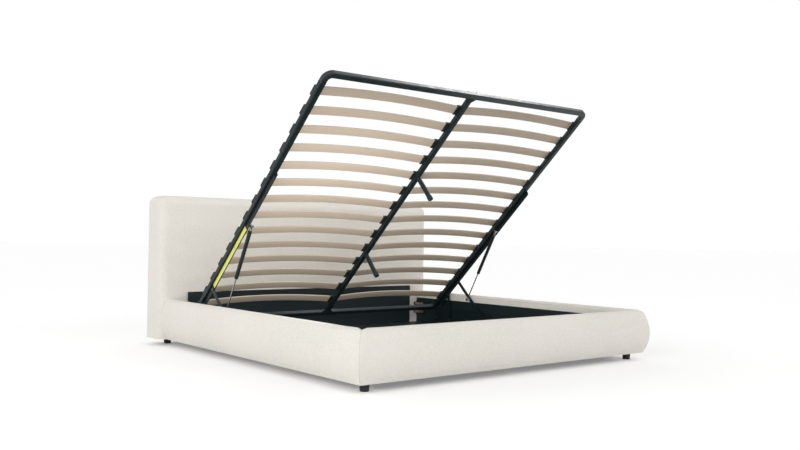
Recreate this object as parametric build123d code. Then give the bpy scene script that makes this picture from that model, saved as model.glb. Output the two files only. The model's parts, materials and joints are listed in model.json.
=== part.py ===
from build123d import *
import os
from math import atan2, cos, degrees, hypot, pi, radians, sin

# A double bed whose slatted platform lifts on a linkage to open a storage box.
# Millimetres. +X is to the right seen from the foot, +Y points at the headboard.
# The origin is on the floor, under the middle of the bed.
# The platform is drawn raised, which is also the place where every joint is zero.

# The mattress and the room around it
mattress_width = 1930.0
mattress_length = 2030.0
mattress_side_room = 10.0
mattress_end_room = 17.5

# Upholstered rails: a thin liner, a board and a padded cover
foot_height = 40.0
liner_thickness = 3.0
board_thickness = 18.0
board_height = 230.0
board_rise = 5.0
side_padding = 12.5
top_padding = 18.0
rail_bulge = 35.0
bulge_rise = 128.0
crown_inset = 22.0
shoulder_radius = 30.0
lip_depth = 35.0
rail_tuck = 30.0

# Headboard
headboard_thickness = 224.0
headboard_height = 899.5
headboard_overhang = 32.0
headboard_edge_radius = 55.0
headboard_padding = 40.0
frame_sheet = 18.0
frame_member = 80.0
frame_depth = 45.0
base_cloth_thickness = 1.5

# Storage floor and head panel
floor_thickness = 4.0
ledger_height = 12.0
ledger_width = 40.0
centre_rail_width = 60.0
floor_clearance = 1.0
head_panel_thickness = 18.0
head_panel_standoff = 18.0
head_panel_side_room = 90.0
head_panel_height = 277.0
spacer_width = 60.0
spacer_height = 90.0
spacer_count = 3

# Feet and their brackets
foot_radius = 24.0
foot_sole_radius = 21.0
foot_rim = 3.0
foot_inset_x = 34.3
foot_inset_y = 29.4
head_foot_inset_x = 93.5
head_foot_setback = 127.0
centre_foot_count = 3
stud_radius = 4.0
stud_length = 20.0
bracket_leg = 120.0
bracket_height = 100.0
bracket_thickness = 4.0
screw_head_radius = 6.0
screw_head_height = 3.0
screw_radius = 3.0
screw_length = 18.0
upstand_screw_shares = (0.4, 0.8)
upstand_level_share = 0.75

# Bolts that join the headboard to the side rails
joint_bolt_inset = 20.0
joint_bolt_low = 95.0
joint_bolt_pitch = 60.0
joint_sleeve_radius = 8.0
joint_sleeve_length = 100.0
joint_ear_radius = 12.0
joint_ear_standoff = 10.0
joint_stud_radius = 4.0
joint_stud_grip = 50.0
joint_plate_length = 95.0
joint_plate_margin = 28.0
joint_screw_shares = (0.4, 0.8)

# Platform tubes
tube_width = 34.0
tube_height = 28.0
tube_wall = 2.0
tube_corner = 5.0
bend_radius = 38.0
bend_tail = 20.0
beam_width = 30.0
gusset_size = 26.0
gusset_thickness = 4.0
platform_side_gap = 12.0
platform_head_gap = 33.0
platform_foot_gap = 11.0
platform_sink = 48.0

# How far the platform lifts from its closed place
lift_angle = 42.15
lift_toward_foot = 160.0
lift_drop = 72.2

# Slats and their holders; rows are counted along the platform from its head end
slat_rows = 14
first_slat = 139.0
last_slat_margin = 141.8
slat_width = 55.0
slat_thickness = 8.0
slat_bow = 28.0
slat_seat = 0.8
slat_fit = 0.2
holder_length = 64.0
holder_height = 13.0
holder_inset = 3.0
holder_reach = 15.0
holder_wall = 3.0
holder_end_wall = 8.0
holder_rounding = 2.0
holder_slope = 2.5

# Legs under the centre beam, which stand on the storage floor when it is shut
near_leg = 623.0
far_leg = 1318.0
leg_radius = 14.0
leg_wall = 1.5
leg_floor_gap = 1.0
leg_cap_height = 22.0
leg_cap_wall = 2.0

# Lift arms: a folded steel section under each side tube
arm_start = 85.0
arm_end = 1275.0
arm_web = 31.0
arm_thickness = 4.0
arm_inset = 12.5
arm_upstand = 20.0
arm_end_radius = 16.0
arm_bolt_places = (117.0, 218.0, 695.0, 1127.0)
arm_bolt_drop = 9.0
arm_bolt_radius = 4.0
arm_bolt_head_radius = 7.0
arm_bolt_head_height = 3.5

# Linkage: places along the platform, drops below its tubes, and bar sizes
front_pin_place = 348.0
front_pin_drop = 24.0
rear_pin_place = 200.0
rear_pin_drop = 20.0
ground_pin_rise = 60.0
link_thickness = 5.0
link_width = 22.0
link_eye_radius = 12.0
link_gap = 2.0
pin_radius = 5.0
pin_head_radius = 9.0
pin_head_height = 3.5
pin_fit = 0.05
side_play = 0.3
boss_radius = 11.0

# Gas struts
strut_pin_place = 893.0
strut_pin_drop = 22.6
strut_reach = 238.0
strut_inset = 35.0
strut_radius = 11.0
strut_bore_radius = 9.2
strut_body_start = 30.0
strut_body_length = 312.0
strut_cap = 8.0
strut_gland = 12.0
rod_radius = 4.0
rod_reserve = 30.0
piston_length = 10.0
piston_fit = 0.1
strut_eye_radius = 8.0
strut_eye_width = 16.0
strut_neck_radius = 6.0
strut_stud_radius = 4.0
strut_collar_radius = 6.5
rivet_head_radius = 6.5
rivet_head_height = 2.0

# Base plates under the links
plate_thickness = 4.0
plate_low = 40.0
plate_tall = 100.0
plate_front_margin = 32.0
plate_rear_margin = 186.0
plate_corner = 24.0
plate_screw_places = (227.0, 478.0, 559.0)
plate_screw_rise = 7.0
plate_screw_head_radius = 6.5

# Plain marker strip and the buttons on the foot tube
strip_width = 26.5
strip_thickness = 0.6
strip_start = 362.0
strip_end = 868.0
strip_drop = 1.2
button_radius = 4.0
button_height = 5.0
button_places = (-23.0, 38.0)
button_inset = 6.0

# Angles, and one overrun for every cut
quarter_turn = 90.0
overrun = 5.0

# Levels and lines that follow from the sizes above
rail_bottom = foot_height
board_bottom = rail_bottom + board_rise
board_top = board_bottom + board_height
crown_z = board_top + top_padding
liner_top = board_top - lip_depth
bulge_z = rail_bottom + bulge_rise
rail_depth = liner_thickness + board_thickness + side_padding
rail_reach = rail_depth + rail_bulge
inner_x = mattress_width / 2 + mattress_side_room
outer_x = inner_x + rail_reach
opening_length = mattress_length + mattress_end_room
overall_length = rail_reach + opening_length + headboard_thickness
foot_y = -overall_length / 2 + rail_reach
head_y = foot_y + opening_length
back_y = head_y + headboard_thickness
headboard_top = rail_bottom + headboard_height
ledger_top = rail_bottom + ledger_height
floor_top = ledger_top + floor_thickness
panel_y = head_y - head_panel_standoff - head_panel_thickness
head_panel_half_width = inner_x - head_panel_side_room
headboard_half_width = outer_x + headboard_overhang

# Platform in its own plane: x across, place along it from the head, rise above it
platform_half = inner_x - platform_side_gap
side_tube_x = platform_half - tube_width / 2
closed_y = panel_y - platform_head_gap
closed_z = crown_z - platform_sink
platform_length = closed_y - foot_y - platform_foot_gap
open_y = closed_y - lift_toward_foot
open_z = closed_z - lift_drop
half_tube = tube_height / 2
corner_run = tube_width / 2 + bend_radius + bend_tail

# Side stack, from the liner inwards
plate_face_x = inner_x - plate_thickness
web_outer_x = platform_half - arm_inset
web_inner_x = web_outer_x - arm_thickness
link_inner_x = web_outer_x + link_gap
link_outer_x = link_inner_x + link_thickness
strut_x = platform_half - strut_inset
strut_face_x = strut_x + strut_eye_width / 2

platform_pose = Location((0, open_y, open_z), (-lift_angle, 0, 0))


def open_point(place, rise):
    """World (y, z) of a platform point while the platform is raised."""
    turn = radians(lift_angle)
    return (open_y - place * cos(turn) + rise * sin(turn),
            open_z + place * sin(turn) + rise * cos(turn))


def closed_point(place, rise):
    """World (y, z) of a platform point while the platform is shut."""
    return (closed_y - place, closed_z + rise)


def ground_pivot(place, rise, height):
    """Fixed pivot at one height, equally far from both places of a moving pin."""
    first = open_point(place, rise)
    second = closed_point(place, rise)
    step_y = first[0] - second[0]
    step_z = first[1] - second[1]
    mid_y = (first[0] + second[0]) / 2
    mid_z = (first[1] + second[1]) / 2
    return (mid_y - (height - mid_z) * step_z / step_y, height)


def bearing(start, end):
    """Angle of a line in the side view, from +Y towards +Z, in degrees."""
    return degrees(atan2(end[1] - start[1], end[0] - start[0]))


def span(start, end):
    """Distance between two points of the side view."""
    return hypot(end[0] - start[0], end[1] - start[1])


def along(start, angle, distance):
    """Point at a distance from another one in the side view."""
    return (start[0] + distance * cos(radians(angle)), start[1] + distance * sin(radians(angle)))


# Linkage points, worked out from the raised and shut places of the platform
front_pin_rise = -half_tube - front_pin_drop
rear_pin_rise = -half_tube - rear_pin_drop
strut_pin_rise = -half_tube - strut_pin_drop
ground_pin_z = rail_bottom + ground_pin_rise
front_ground = ground_pivot(front_pin_place, front_pin_rise, ground_pin_z)
rear_ground = ground_pivot(rear_pin_place, rear_pin_rise, ground_pin_z)
front_open = open_point(front_pin_place, front_pin_rise)
rear_open = open_point(rear_pin_place, rear_pin_rise)
front_length = span(front_ground, front_open)
rear_length = span(rear_ground, rear_open)
front_angle = bearing(front_ground, front_open)
rear_angle = bearing(rear_ground, rear_open)
front_shut_angle = bearing(front_ground, closed_point(front_pin_place, front_pin_rise))
rear_shut_angle = bearing(rear_ground, closed_point(rear_pin_place, rear_pin_rise))
strut_top = open_point(strut_pin_place, strut_pin_rise)
strut_foot = along(front_ground, front_angle, strut_reach)
strut_angle = bearing(strut_top, strut_foot)
strut_span = span(strut_top, strut_foot)
strut_shut_top = closed_point(strut_pin_place, strut_pin_rise)
strut_shut_foot = along(front_ground, front_shut_angle, strut_reach)
strut_shut_span = span(strut_shut_top, strut_shut_foot)
strut_shut_angle = bearing(strut_shut_top, strut_shut_foot)
strut_travel = strut_span - strut_shut_span


def block(x_range, y_range, z_range):
    """Box between two corners, each range given as (low, high)."""
    size = [high - low for low, high in (x_range, y_range, z_range)]
    middle = [(low + high) / 2 for low, high in (x_range, y_range, z_range)]
    return Pos(*middle) * Box(*size)


def peg_x(x_range, y, z, radius):
    """Round bar along X."""
    length = x_range[1] - x_range[0]
    return Pos((x_range[0] + x_range[1]) / 2, y, z) * Rot(0, quarter_turn, 0) * Cylinder(radius, length)


def peg_y(x, y_range, z, radius):
    """Round bar along Y."""
    length = y_range[1] - y_range[0]
    return Pos(x, (y_range[0] + y_range[1]) / 2, z) * Rot(quarter_turn, 0, 0) * Cylinder(radius, length)


def peg_z(x, y, z_range, radius):
    """Round bar along Z."""
    length = z_range[1] - z_range[0]
    return Pos(x, y, (z_range[0] + z_range[1]) / 2) * Cylinder(radius, length)


def flip(shape):
    """The same shape on the other side of the bed."""
    return mirror(shape, about=Plane.YZ)


def group(shapes):
    """Several separate pieces as one set."""
    return Compound(children=list(shapes))


def both_sides(shapes):
    """Pieces of the right side, and their mirrored copies."""
    right = list(shapes)
    return right + [flip(shape) for shape in right]


def spread(first, last, count):
    """Evenly spaced places from the first to the last."""
    return [first + (last - first) * step / (count - 1) for step in range(count)]


def write(name, shape):
    """Keep one sub-part as a STEP file."""
    export_step(shape, f"parts/{name}.step")


# Upholstered rails

def rail_section():
    """Padded rail cover in its own plane: outward from the opening, and height."""
    crown_level = crown_z - shoulder_radius
    out_step = rail_reach - crown_inset
    rise = crown_level - bulge_z
    upper_radius = (out_step ** 2 + rise ** 2 - shoulder_radius ** 2) / (2 * (out_step - shoulder_radius))
    share = shoulder_radius / (upper_radius - shoulder_radius)
    joint = (crown_inset + (crown_inset - rail_reach + upper_radius) * share,
             crown_level + rise * share)
    upper_turn = atan2(joint[1] - bulge_z, joint[0] - rail_reach + upper_radius) / 2
    upper_mid = (rail_reach - upper_radius + upper_radius * cos(upper_turn),
                 bulge_z + upper_radius * sin(upper_turn))
    shoulder_turn = (atan2(joint[1] - crown_level, joint[0] - crown_inset) + pi / 2) / 2
    shoulder_mid = (crown_inset + shoulder_radius * cos(shoulder_turn),
                    crown_level + shoulder_radius * sin(shoulder_turn))
    lower_radius = (bulge_rise ** 2 + rail_bulge ** 2) / (2 * rail_bulge)
    lower_turn = atan2(bulge_rise, lower_radius - rail_bulge) / 2
    lower_mid = (rail_reach - lower_radius + lower_radius * cos(lower_turn),
                 bulge_z - lower_radius * sin(lower_turn))
    inner_mid = (crown_inset - crown_inset * cos(pi / 4),
                 crown_z - crown_inset + crown_inset * sin(pi / 4))
    board_face = liner_thickness + board_thickness
    outline = [
        Line((board_face, rail_bottom), (rail_depth, rail_bottom)),
        ThreePointArc((rail_depth, rail_bottom), lower_mid, (rail_reach, bulge_z)),
        ThreePointArc((rail_reach, bulge_z), upper_mid, joint),
        ThreePointArc(joint, shoulder_mid, (crown_inset, crown_z)),
        ThreePointArc((crown_inset, crown_z), inner_mid, (0, crown_z - crown_inset)),
        Line((0, crown_z - crown_inset), (0, liner_top)),
        Line((0, liner_top), (liner_thickness, liner_top)),
        Line((liner_thickness, liner_top), (liner_thickness, board_top)),
        Line((liner_thickness, board_top), (board_face, board_top)),
        Line((board_face, board_top), (board_face, rail_bottom)),
    ]
    return make_face(outline)


def corner_wedge(towards_side):
    """Prism beyond the mitre line of the right foot corner, on one side of it."""
    far = rail_reach + overrun
    near = (inner_x - far, foot_y + far)
    tip = (inner_x + far, foot_y - far)
    third = (inner_x + far, foot_y + far) if towards_side else (inner_x - far, foot_y - far)
    outline = make_face(Polyline(near, tip, third, close=True))
    return Pos(0, 0, rail_bottom - overrun) * extrude(outline, amount=crown_z - rail_bottom + 2 * overrun)


def headboard_slab():
    """Outer form of the padded headboard, without its hollow."""
    slab = block((-headboard_half_width, headboard_half_width), (head_y, back_y),
                 (rail_bottom, headboard_top))
    soft = [edge for edge in slab.edges() if edge.center().Z > rail_bottom + overrun]
    return fillet(soft, headboard_edge_radius)


def side_rail_upholstery():
    """Right side cover: mitred at the foot, pressed against the headboard at its end."""
    length = opening_length + rail_reach + rail_tuck
    far_end = head_y + rail_tuck
    body = Pos(inner_x, far_end, 0) * extrude(Plane.XZ * rail_section(), amount=length)
    body = body - corner_wedge(False)
    return body - headboard_slab()


def foot_rail_upholstery():
    """Foot cover, mitred at both ends."""
    section = Rot(0, 0, -quarter_turn) * (Plane.XZ * rail_section())
    body = Pos(-outer_x, foot_y, 0) * extrude(section, amount=2 * outer_x, dir=(1, 0, 0))
    wedge = corner_wedge(True)
    return body - wedge - flip(wedge)


def side_board():
    """Right side board inside the cover."""
    start = inner_x + liner_thickness
    front = foot_y - liner_thickness - board_thickness
    return block((start, start + board_thickness), (front, head_y), (board_bottom, board_top))


def foot_board():
    """Foot board between the two side boards."""
    half = inner_x + liner_thickness
    front = foot_y - liner_thickness - board_thickness
    return block((-half, half), (front, front + board_thickness), (board_bottom, board_top))


def side_liner():
    """Thin dark liner on the inside of the right rail."""
    return block((inner_x, inner_x + liner_thickness), (foot_y - liner_thickness, head_y),
                 (rail_bottom, liner_top))


def foot_liner():
    """Thin dark liner on the inside of the foot rail."""
    return block((-inner_x, inner_x), (foot_y - liner_thickness, foot_y), (rail_bottom, liner_top))


# Headboard

def headboard_hollow():
    """Space inside the padding, open at the bottom."""
    half = headboard_half_width - headboard_padding
    return block((-half, half), (head_y + headboard_padding, back_y - headboard_padding),
                 (rail_bottom, headboard_top - headboard_padding))


def headboard_frame():
    """Plywood front and back sheets on a ring of timber with two middle posts."""
    half = headboard_half_width - headboard_padding
    front = head_y + headboard_padding
    back = back_y - headboard_padding
    low = rail_bottom + base_cloth_thickness
    high = headboard_top - headboard_padding
    frame = block((-half, half), (front, front + frame_sheet), (low, high))
    frame += block((-half, half), (back - frame_sheet, back), (low, high))
    for level in (low, high - frame_depth):
        frame += block((-half, half), (front, back), (level, level + frame_depth))
    post_middles = spread(-half + frame_member / 2, half - frame_member / 2, spacer_count + 1)
    for middle in post_middles:
        frame += block((middle - frame_member / 2, middle + frame_member / 2), (front, back), (low, high))
    return frame


def headboard_base_cloth():
    """Dark cloth under the headboard."""
    half = headboard_half_width - headboard_padding
    return block((-half, half), (head_y + headboard_padding, back_y - headboard_padding),
                 (rail_bottom, rail_bottom + base_cloth_thickness))


# Feet, brackets and screws

def foot_places():
    """Centres of the four corner feet on the right side: foot end, then head end."""
    return [(inner_x - foot_inset_x, foot_y + foot_inset_y),
            (outer_x - head_foot_inset_x, head_y + head_foot_setback)]


def foot(x, y, stud):
    """Round foot that narrows to its sole, with a threaded stud of a given length on top."""
    body = Pos(x, y, 0) * extrude(Circle(foot_sole_radius), amount=foot_height,
                                  taper=-degrees(atan2(foot_radius - foot_sole_radius, foot_height)))
    sole = body.edges().sort_by(Axis.Z)[0]
    body = fillet(sole, foot_rim)
    return body + peg_z(x, y, (foot_height, foot_height + stud), stud_radius)


def centre_foot_places():
    """Centres of the feet under the middle floor rail."""
    margin = opening_length / (centre_foot_count + 1)
    return [(0, y) for y in spread(foot_y + margin, head_y - margin, centre_foot_count)]


def stud_holes(places, stud):
    """Holes for the studs of some feet."""
    return [peg_z(x, y, (rail_bottom - overrun, rail_bottom + stud), stud_radius) for x, y in places]


def corner_bracket():
    """Right foot corner: a level plate with two upstands against the liners."""
    low = rail_bottom
    high = rail_bottom + bracket_height
    outline = Polyline((inner_x, foot_y), (inner_x, foot_y + bracket_leg),
                       (inner_x - bracket_thickness, foot_y + bracket_leg),
                       (inner_x - bracket_leg, foot_y + bracket_thickness),
                       (inner_x - bracket_leg, foot_y), close=True)
    plate = Pos(0, 0, low) * extrude(make_face(outline), amount=bracket_thickness)
    plate += block((inner_x - bracket_thickness, inner_x), (foot_y, foot_y + bracket_leg), (low, high))
    plate += block((inner_x - bracket_leg, inner_x), (foot_y, foot_y + bracket_thickness), (low, high))
    for hole in stud_holes(foot_places()[:1], stud_length):
        plate -= hole
    for screw in bracket_screws():
        plate -= screw
    return plate


def screw_x(x, y, z, head_radius):
    """Screw driven outward through the right liner, head on a plate face at x."""
    return (peg_x((x - screw_head_height, x), y, z, head_radius)
            + peg_x((x, x + screw_length), y, z, screw_radius))


def bracket_screws():
    """Two screws in each upstand of the right corner bracket."""
    level = rail_bottom + bracket_height * upstand_level_share
    screws = []
    for place in [bracket_leg * share for share in upstand_screw_shares]:
        screws.append(screw_x(inner_x - bracket_thickness, foot_y + place, level, screw_head_radius))
        face = foot_y + bracket_thickness
        screws.append(peg_y(inner_x - place, (face, face + screw_head_height), level, screw_head_radius)
                      + peg_y(inner_x - place, (face - screw_length, face), level, screw_radius))
    return screws


# Joint between the side rails and the headboard

def joint_bolt_spots():
    """Centres (x, z) of the two joint bolts of the right side."""
    x = inner_x - joint_bolt_inset
    low = rail_bottom + joint_bolt_low
    return [(x, low), (x, low + joint_bolt_pitch)]


def joint_bolts():
    """Long sleeve nuts on studs that enter the headboard frame."""
    ear = head_y - joint_ear_standoff
    bolts = []
    for x, z in joint_bolt_spots():
        sleeve = peg_y(x, (ear - bracket_thickness - joint_sleeve_length, ear - bracket_thickness),
                       z, joint_sleeve_radius)
        stud = peg_y(x, (ear - bracket_thickness, head_y + joint_stud_grip), z, joint_stud_radius)
        bolts.append(sleeve + stud)
    return bolts


def headboard_bracket():
    """Plate on the right liner with a round ear for each joint bolt, standing off the headboard."""
    ear = head_y - joint_ear_standoff
    spots = joint_bolt_spots()
    low = spots[0][1] - joint_plate_margin
    high = spots[-1][1] + joint_plate_margin
    bracket = block((inner_x - bracket_thickness, inner_x), (head_y - joint_plate_length, head_y),
                    (low, high))
    for x, z in spots:
        bracket += peg_y(x, (ear - bracket_thickness, ear), z, joint_ear_radius)
        bracket += block((x, inner_x - bracket_thickness / 2), (ear - bracket_thickness, ear),
                         (z - joint_ear_radius, z + joint_ear_radius))
    for stud in joint_bolts():
        bracket -= stud
    for screw in headboard_bracket_screws():
        bracket -= screw
    return bracket


def headboard_bracket_screws():
    """Screws that hold the headboard bracket to the right rail."""
    x = inner_x - bracket_thickness
    middle = rail_bottom + joint_bolt_low + joint_bolt_pitch / 2
    return [screw_x(x, head_y - joint_plate_length * place_share, middle, screw_head_radius)
            for place_share in joint_screw_shares]


# Storage floor and head panel

def floor_ledger():
    """Right floor ledger, from the corner bracket to the headboard."""
    return block((inner_x - ledger_width, inner_x), (foot_y + bracket_leg + floor_clearance, head_y),
                 (rail_bottom, ledger_top))


def centre_floor_rail():
    """Middle floor rail from the foot liner to the headboard."""
    rail = block((-centre_rail_width / 2, centre_rail_width / 2), (foot_y, head_y),
                 (rail_bottom, ledger_top))
    for hole in stud_holes(centre_foot_places(), ledger_height):
        rail -= hole
    return rail


def floor_board():
    """Right floor board, notched round the corner bracket."""
    board = block((floor_clearance / 2, inner_x - floor_clearance),
                  (foot_y + floor_clearance, head_y - floor_clearance), (ledger_top, floor_top))
    notch = bracket_leg + floor_clearance
    board -= block((inner_x - notch, inner_x), (foot_y, foot_y + notch), (rail_bottom, floor_top + overrun))
    return board


def head_panel():
    """Dark board that closes the head end of the storage box."""
    return block((-head_panel_half_width, head_panel_half_width), (panel_y, panel_y + head_panel_thickness),
                 (floor_top, floor_top + head_panel_height))


def panel_spacers():
    """Timber blocks between the head panel and the headboard."""
    middle = floor_top + head_panel_height / 2
    reach = head_panel_half_width - spacer_width
    return [block((x - spacer_width / 2, x + spacer_width / 2), (panel_y + head_panel_thickness, head_y),
                  (middle - spacer_height / 2, middle + spacer_height / 2))
            for x in spread(-reach, reach, spacer_count)]


# Base plates, ground pins and screws

def base_plate_range():
    """Front and rear ends of the base plates."""
    return (front_ground[0] - plate_front_margin, rear_ground[0] + plate_rear_margin)


def base_plate():
    """Right base plate on the liner, with rounded corners."""
    low, high = base_plate_range()
    bottom = rail_bottom + plate_low
    plate = block((plate_face_x, inner_x), (low, high), (bottom, bottom + plate_tall))
    plate = fillet(plate.edges().filter_by(Axis.X), plate_corner)
    for pivot in (front_ground, rear_ground):
        plate -= peg_x((plate_face_x - overrun, inner_x + overrun), pivot[0], pivot[1], pin_radius)
    for screw in base_screws():
        plate -= screw
    return plate


def base_screws():
    """Screws of the right base plate, placed from the front ground pin."""
    return [screw_x(plate_face_x, front_ground[0] + place, ground_pin_z + plate_screw_rise,
                    plate_screw_head_radius)
            for place in plate_screw_places]


def ground_pins():
    """Shouldered pins of the right base plate, one for each link."""
    pins = []
    for pivot in (front_ground, rear_ground):
        pin = peg_x((link_inner_x - side_play, inner_x), pivot[0], pivot[1], pin_radius)
        pin += peg_x((link_outer_x + side_play, plate_face_x), pivot[0], pivot[1], boss_radius)
        pin += peg_x((link_inner_x - side_play - pin_head_height, link_inner_x - side_play),
                     pivot[0], pivot[1], pin_head_radius)
        pins.append(pin)
    return pins


# Links, drawn along +Y from their ground pin, then turned to their raised angle

def link_bar(length):
    """Flat bar with a round eye at both ends and a running bore at the first."""
    outline = Rectangle(length, link_width, align=(Align.MIN, Align.CENTER))
    outline += Circle(link_eye_radius)
    outline += Pos(length, 0) * Circle(link_eye_radius)
    outline -= Circle(pin_radius + pin_fit)
    return Pos(link_inner_x, 0, 0) * extrude(Plane.YZ * outline, amount=link_thickness)


def place_at(shape, point, angle):
    """Turn a shape about X and carry it to a point of the side view."""
    return Location((0, point[0], point[1]), (angle, 0, 0)) * shape


def front_link():
    """Right front link, with a bore for the arm pin and a hole for the strut stud."""
    bar = link_bar(front_length)
    bore = (link_inner_x - overrun, link_outer_x + overrun)
    bar -= peg_x(bore, front_length, 0, pin_radius + pin_fit)
    bar -= peg_x(bore, strut_reach, 0, strut_stud_radius)
    return place_at(bar, front_ground, front_angle)


def rear_link():
    """Right rear link, with a rivet hole in its upper eye."""
    bar = link_bar(rear_length)
    bar -= peg_x((link_inner_x - overrun, link_outer_x + overrun), rear_length, 0, pin_radius)
    return place_at(bar, rear_ground, rear_angle)


def rear_link_rivet():
    """Rivet in the upper eye of the right rear link, flush on the side of the arm."""
    rivet = peg_x((link_inner_x, link_outer_x), rear_length, 0, pin_radius)
    rivet += peg_x((link_outer_x, link_outer_x + rivet_head_height), rear_length, 0, rivet_head_radius)
    return place_at(rivet, rear_ground, rear_angle)


def strut_lower_stud():
    """Riveted stud on the right front link that stops just short of the strut's eye."""
    stud = peg_x((strut_face_x + side_play, link_inner_x), strut_reach, 0, strut_collar_radius)
    stud += peg_x((link_inner_x, link_outer_x), strut_reach, 0, strut_stud_radius)
    stud += peg_x((link_outer_x, link_outer_x + rivet_head_height), strut_reach, 0, rivet_head_radius)
    return place_at(stud, front_ground, front_angle)


# Platform frame, drawn flat: +Y towards the head, places along it count down

def tube_section(width):
    """Hollow tube section with rounded corners."""
    outer = RectangleRounded(width, tube_height, tube_corner)
    inner = RectangleRounded(width - 2 * tube_wall, tube_height - 2 * tube_wall, tube_corner - tube_wall)
    return outer - inner


def end_tube(edge, inward):
    """Cross tube at one end of the platform, bent at both ends to meet the side tubes."""
    line = edge + inward * tube_width / 2
    tail = edge + inward * corner_run
    path = FilletPolyline((side_tube_x, tail), (side_tube_x, line),
                          (-side_tube_x, line), (-side_tube_x, tail), radius=bend_radius)
    start = Plane(origin=(side_tube_x, tail, 0), x_dir=(1, 0, 0), z_dir=(0, -inward, 0))
    return sweep(start * tube_section(tube_width), path=path)


def side_tube():
    """Right side tube between the two bent cross tubes."""
    length = platform_length - 2 * corner_run
    tube = Pos(side_tube_x, -corner_run, 0) * extrude(Plane.XZ * tube_section(tube_width), amount=length)
    for bolt in arm_bolts():
        tube -= bolt
    return tube


def centre_beam():
    """Middle tube with a pair of corner plates at each end."""
    length = platform_length - 2 * tube_width
    beam = Pos(0, -tube_width, 0) * extrude(Plane.XZ * tube_section(beam_width), amount=length)
    for corner, inward in ((-tube_width, -1), (tube_width - platform_length, 1)):
        for side in (-1, 1):
            edge = side * beam_width / 2
            outline = Polyline((edge, corner), (edge + side * gusset_size, corner),
                               (edge, corner + inward * gusset_size), close=True)
            plate = extrude(make_face(outline), amount=gusset_thickness)
            beam += Pos(0, 0, -half_tube + tube_corner) * plate
    return beam


def stop_buttons():
    """Two buttons on top of the foot tube."""
    line = button_inset - platform_length
    return [peg_z(x, line, (half_tube, half_tube + button_height), button_radius) for x in button_places]


# Lift arms

def lift_arm():
    """Right arm: a web below the tube, a ledge under it and a lip on its inner face."""
    tube_inner = platform_half - tube_width
    ledge_inner = tube_inner - arm_thickness
    length = (-arm_end, -arm_start)
    web = block((web_inner_x, web_outer_x), length, (-half_tube - arm_web, -half_tube))
    tips = [edge for edge in web.edges().filter_by(Axis.X) if edge.center().Z < -half_tube - arm_thickness]
    web = fillet(tips, arm_end_radius)
    arm = web + block((ledge_inner, web_outer_x), length, (-half_tube - arm_thickness, -half_tube))
    arm += block((ledge_inner, tube_inner), length, (-half_tube, -half_tube + arm_upstand))
    for cut in arm_bolts() + arm_pins() + [strut_upper_stud()]:
        arm -= cut
    return arm


def arm_bolts():
    """Bolts through the arm's lip and the right side tube."""
    face = platform_half - tube_width - arm_thickness
    level = -arm_bolt_drop
    bolts = []
    for place in arm_bolt_places:
        bolt = peg_x((face, platform_half), -place, level, arm_bolt_radius)
        bolt += peg_x((face - arm_bolt_head_height, face), -place, level, arm_bolt_head_radius)
        bolt += peg_x((platform_half, platform_half + arm_bolt_head_height), -place, level,
                      arm_bolt_head_radius)
        bolts.append(bolt)
    return bolts


def arm_pins():
    """Pins in the right arm: one through the front link, one stopping at the rear link."""
    pins = []
    spots = ((front_pin_place, front_pin_rise, True), (rear_pin_place, rear_pin_rise, False))
    for place, rise, passes in spots:
        pin = peg_x((web_inner_x - pin_head_height, web_inner_x), -place, rise, pin_head_radius)
        pin += peg_x((web_inner_x, web_outer_x), -place, rise, pin_radius)
        pin += peg_x((web_outer_x, link_inner_x - side_play), -place, rise, pin_head_radius)
        if passes:
            outer = link_outer_x + side_play
            pin += peg_x((link_inner_x - side_play, outer), -place, rise, pin_radius)
            pin += peg_x((outer, outer + pin_head_height), -place, rise, pin_head_radius)
        pins.append(pin)
    return pins


def strut_upper_stud():
    """Stud of the right arm that carries the top eye of the strut."""
    place = -strut_pin_place
    eye = (strut_x - strut_eye_width / 2 - side_play, strut_face_x + side_play)
    stud = peg_x((web_outer_x, web_outer_x + rivet_head_height), place, strut_pin_rise, rivet_head_radius)
    stud += peg_x((web_inner_x, web_outer_x), place, strut_pin_rise, strut_stud_radius)
    stud += peg_x((eye[1], web_inner_x), place, strut_pin_rise, strut_collar_radius)
    stud += peg_x(eye, place, strut_pin_rise, strut_stud_radius)
    return stud + peg_x((eye[0] - rivet_head_height, eye[0]), place, strut_pin_rise, strut_collar_radius)


def marker_strip():
    """Plain coloured strip on the outer face of the left arm."""
    top = -half_tube - strip_drop
    strip = block((web_outer_x, web_outer_x + strip_thickness), (-strip_end, -strip_start),
                  (top - strip_width, top))
    return flip(strip)


# Slats and holders

def slat_places():
    """Middles of the slat rows along the platform."""
    return spread(first_slat, platform_length - last_slat_margin, slat_rows)


def slat_solid(place, grow):
    """Right slat of one row, bowed towards the mattress; grow adds clearance all round."""
    start = beam_width / 2 - holder_wall - grow
    end = platform_half - holder_inset - holder_end_wall + grow
    low = half_tube + slat_seat - grow
    high = half_tube + slat_seat + slat_thickness + grow
    middle = (start + end) / 2
    outline = [
        ThreePointArc((start, low), (middle, low + slat_bow), (end, low)),
        Line((end, low), (end, high)),
        ThreePointArc((end, high), (middle, high + slat_bow), (start, high)),
        Line((start, high), (start, low)),
    ]
    slat = extrude(Plane.XZ * make_face(outline), amount=slat_width / 2 + grow, both=True)
    return Pos(0, -place, 0) * slat


def holder(x_range, place):
    """Block with sloped ends that seats slat ends on a tube."""
    body = block(x_range, (-place - holder_length / 2, -place + holder_length / 2),
                 (half_tube, half_tube + holder_height))
    ends = [edge for edge in body.edges().filter_by(Axis.X) if edge.center().Z > half_tube + slat_thickness]
    body = chamfer(ends, holder_slope)
    upright = body.edges().filter_by(Axis.Z)
    return fillet(upright, holder_rounding)


def side_holders():
    """Holders on the right side tube, each with a pocket for one slat."""
    inner = platform_half - tube_width + holder_inset
    outer = platform_half - holder_inset
    return [holder((inner, outer), place) - slat_solid(place, slat_fit) for place in slat_places()]


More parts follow.
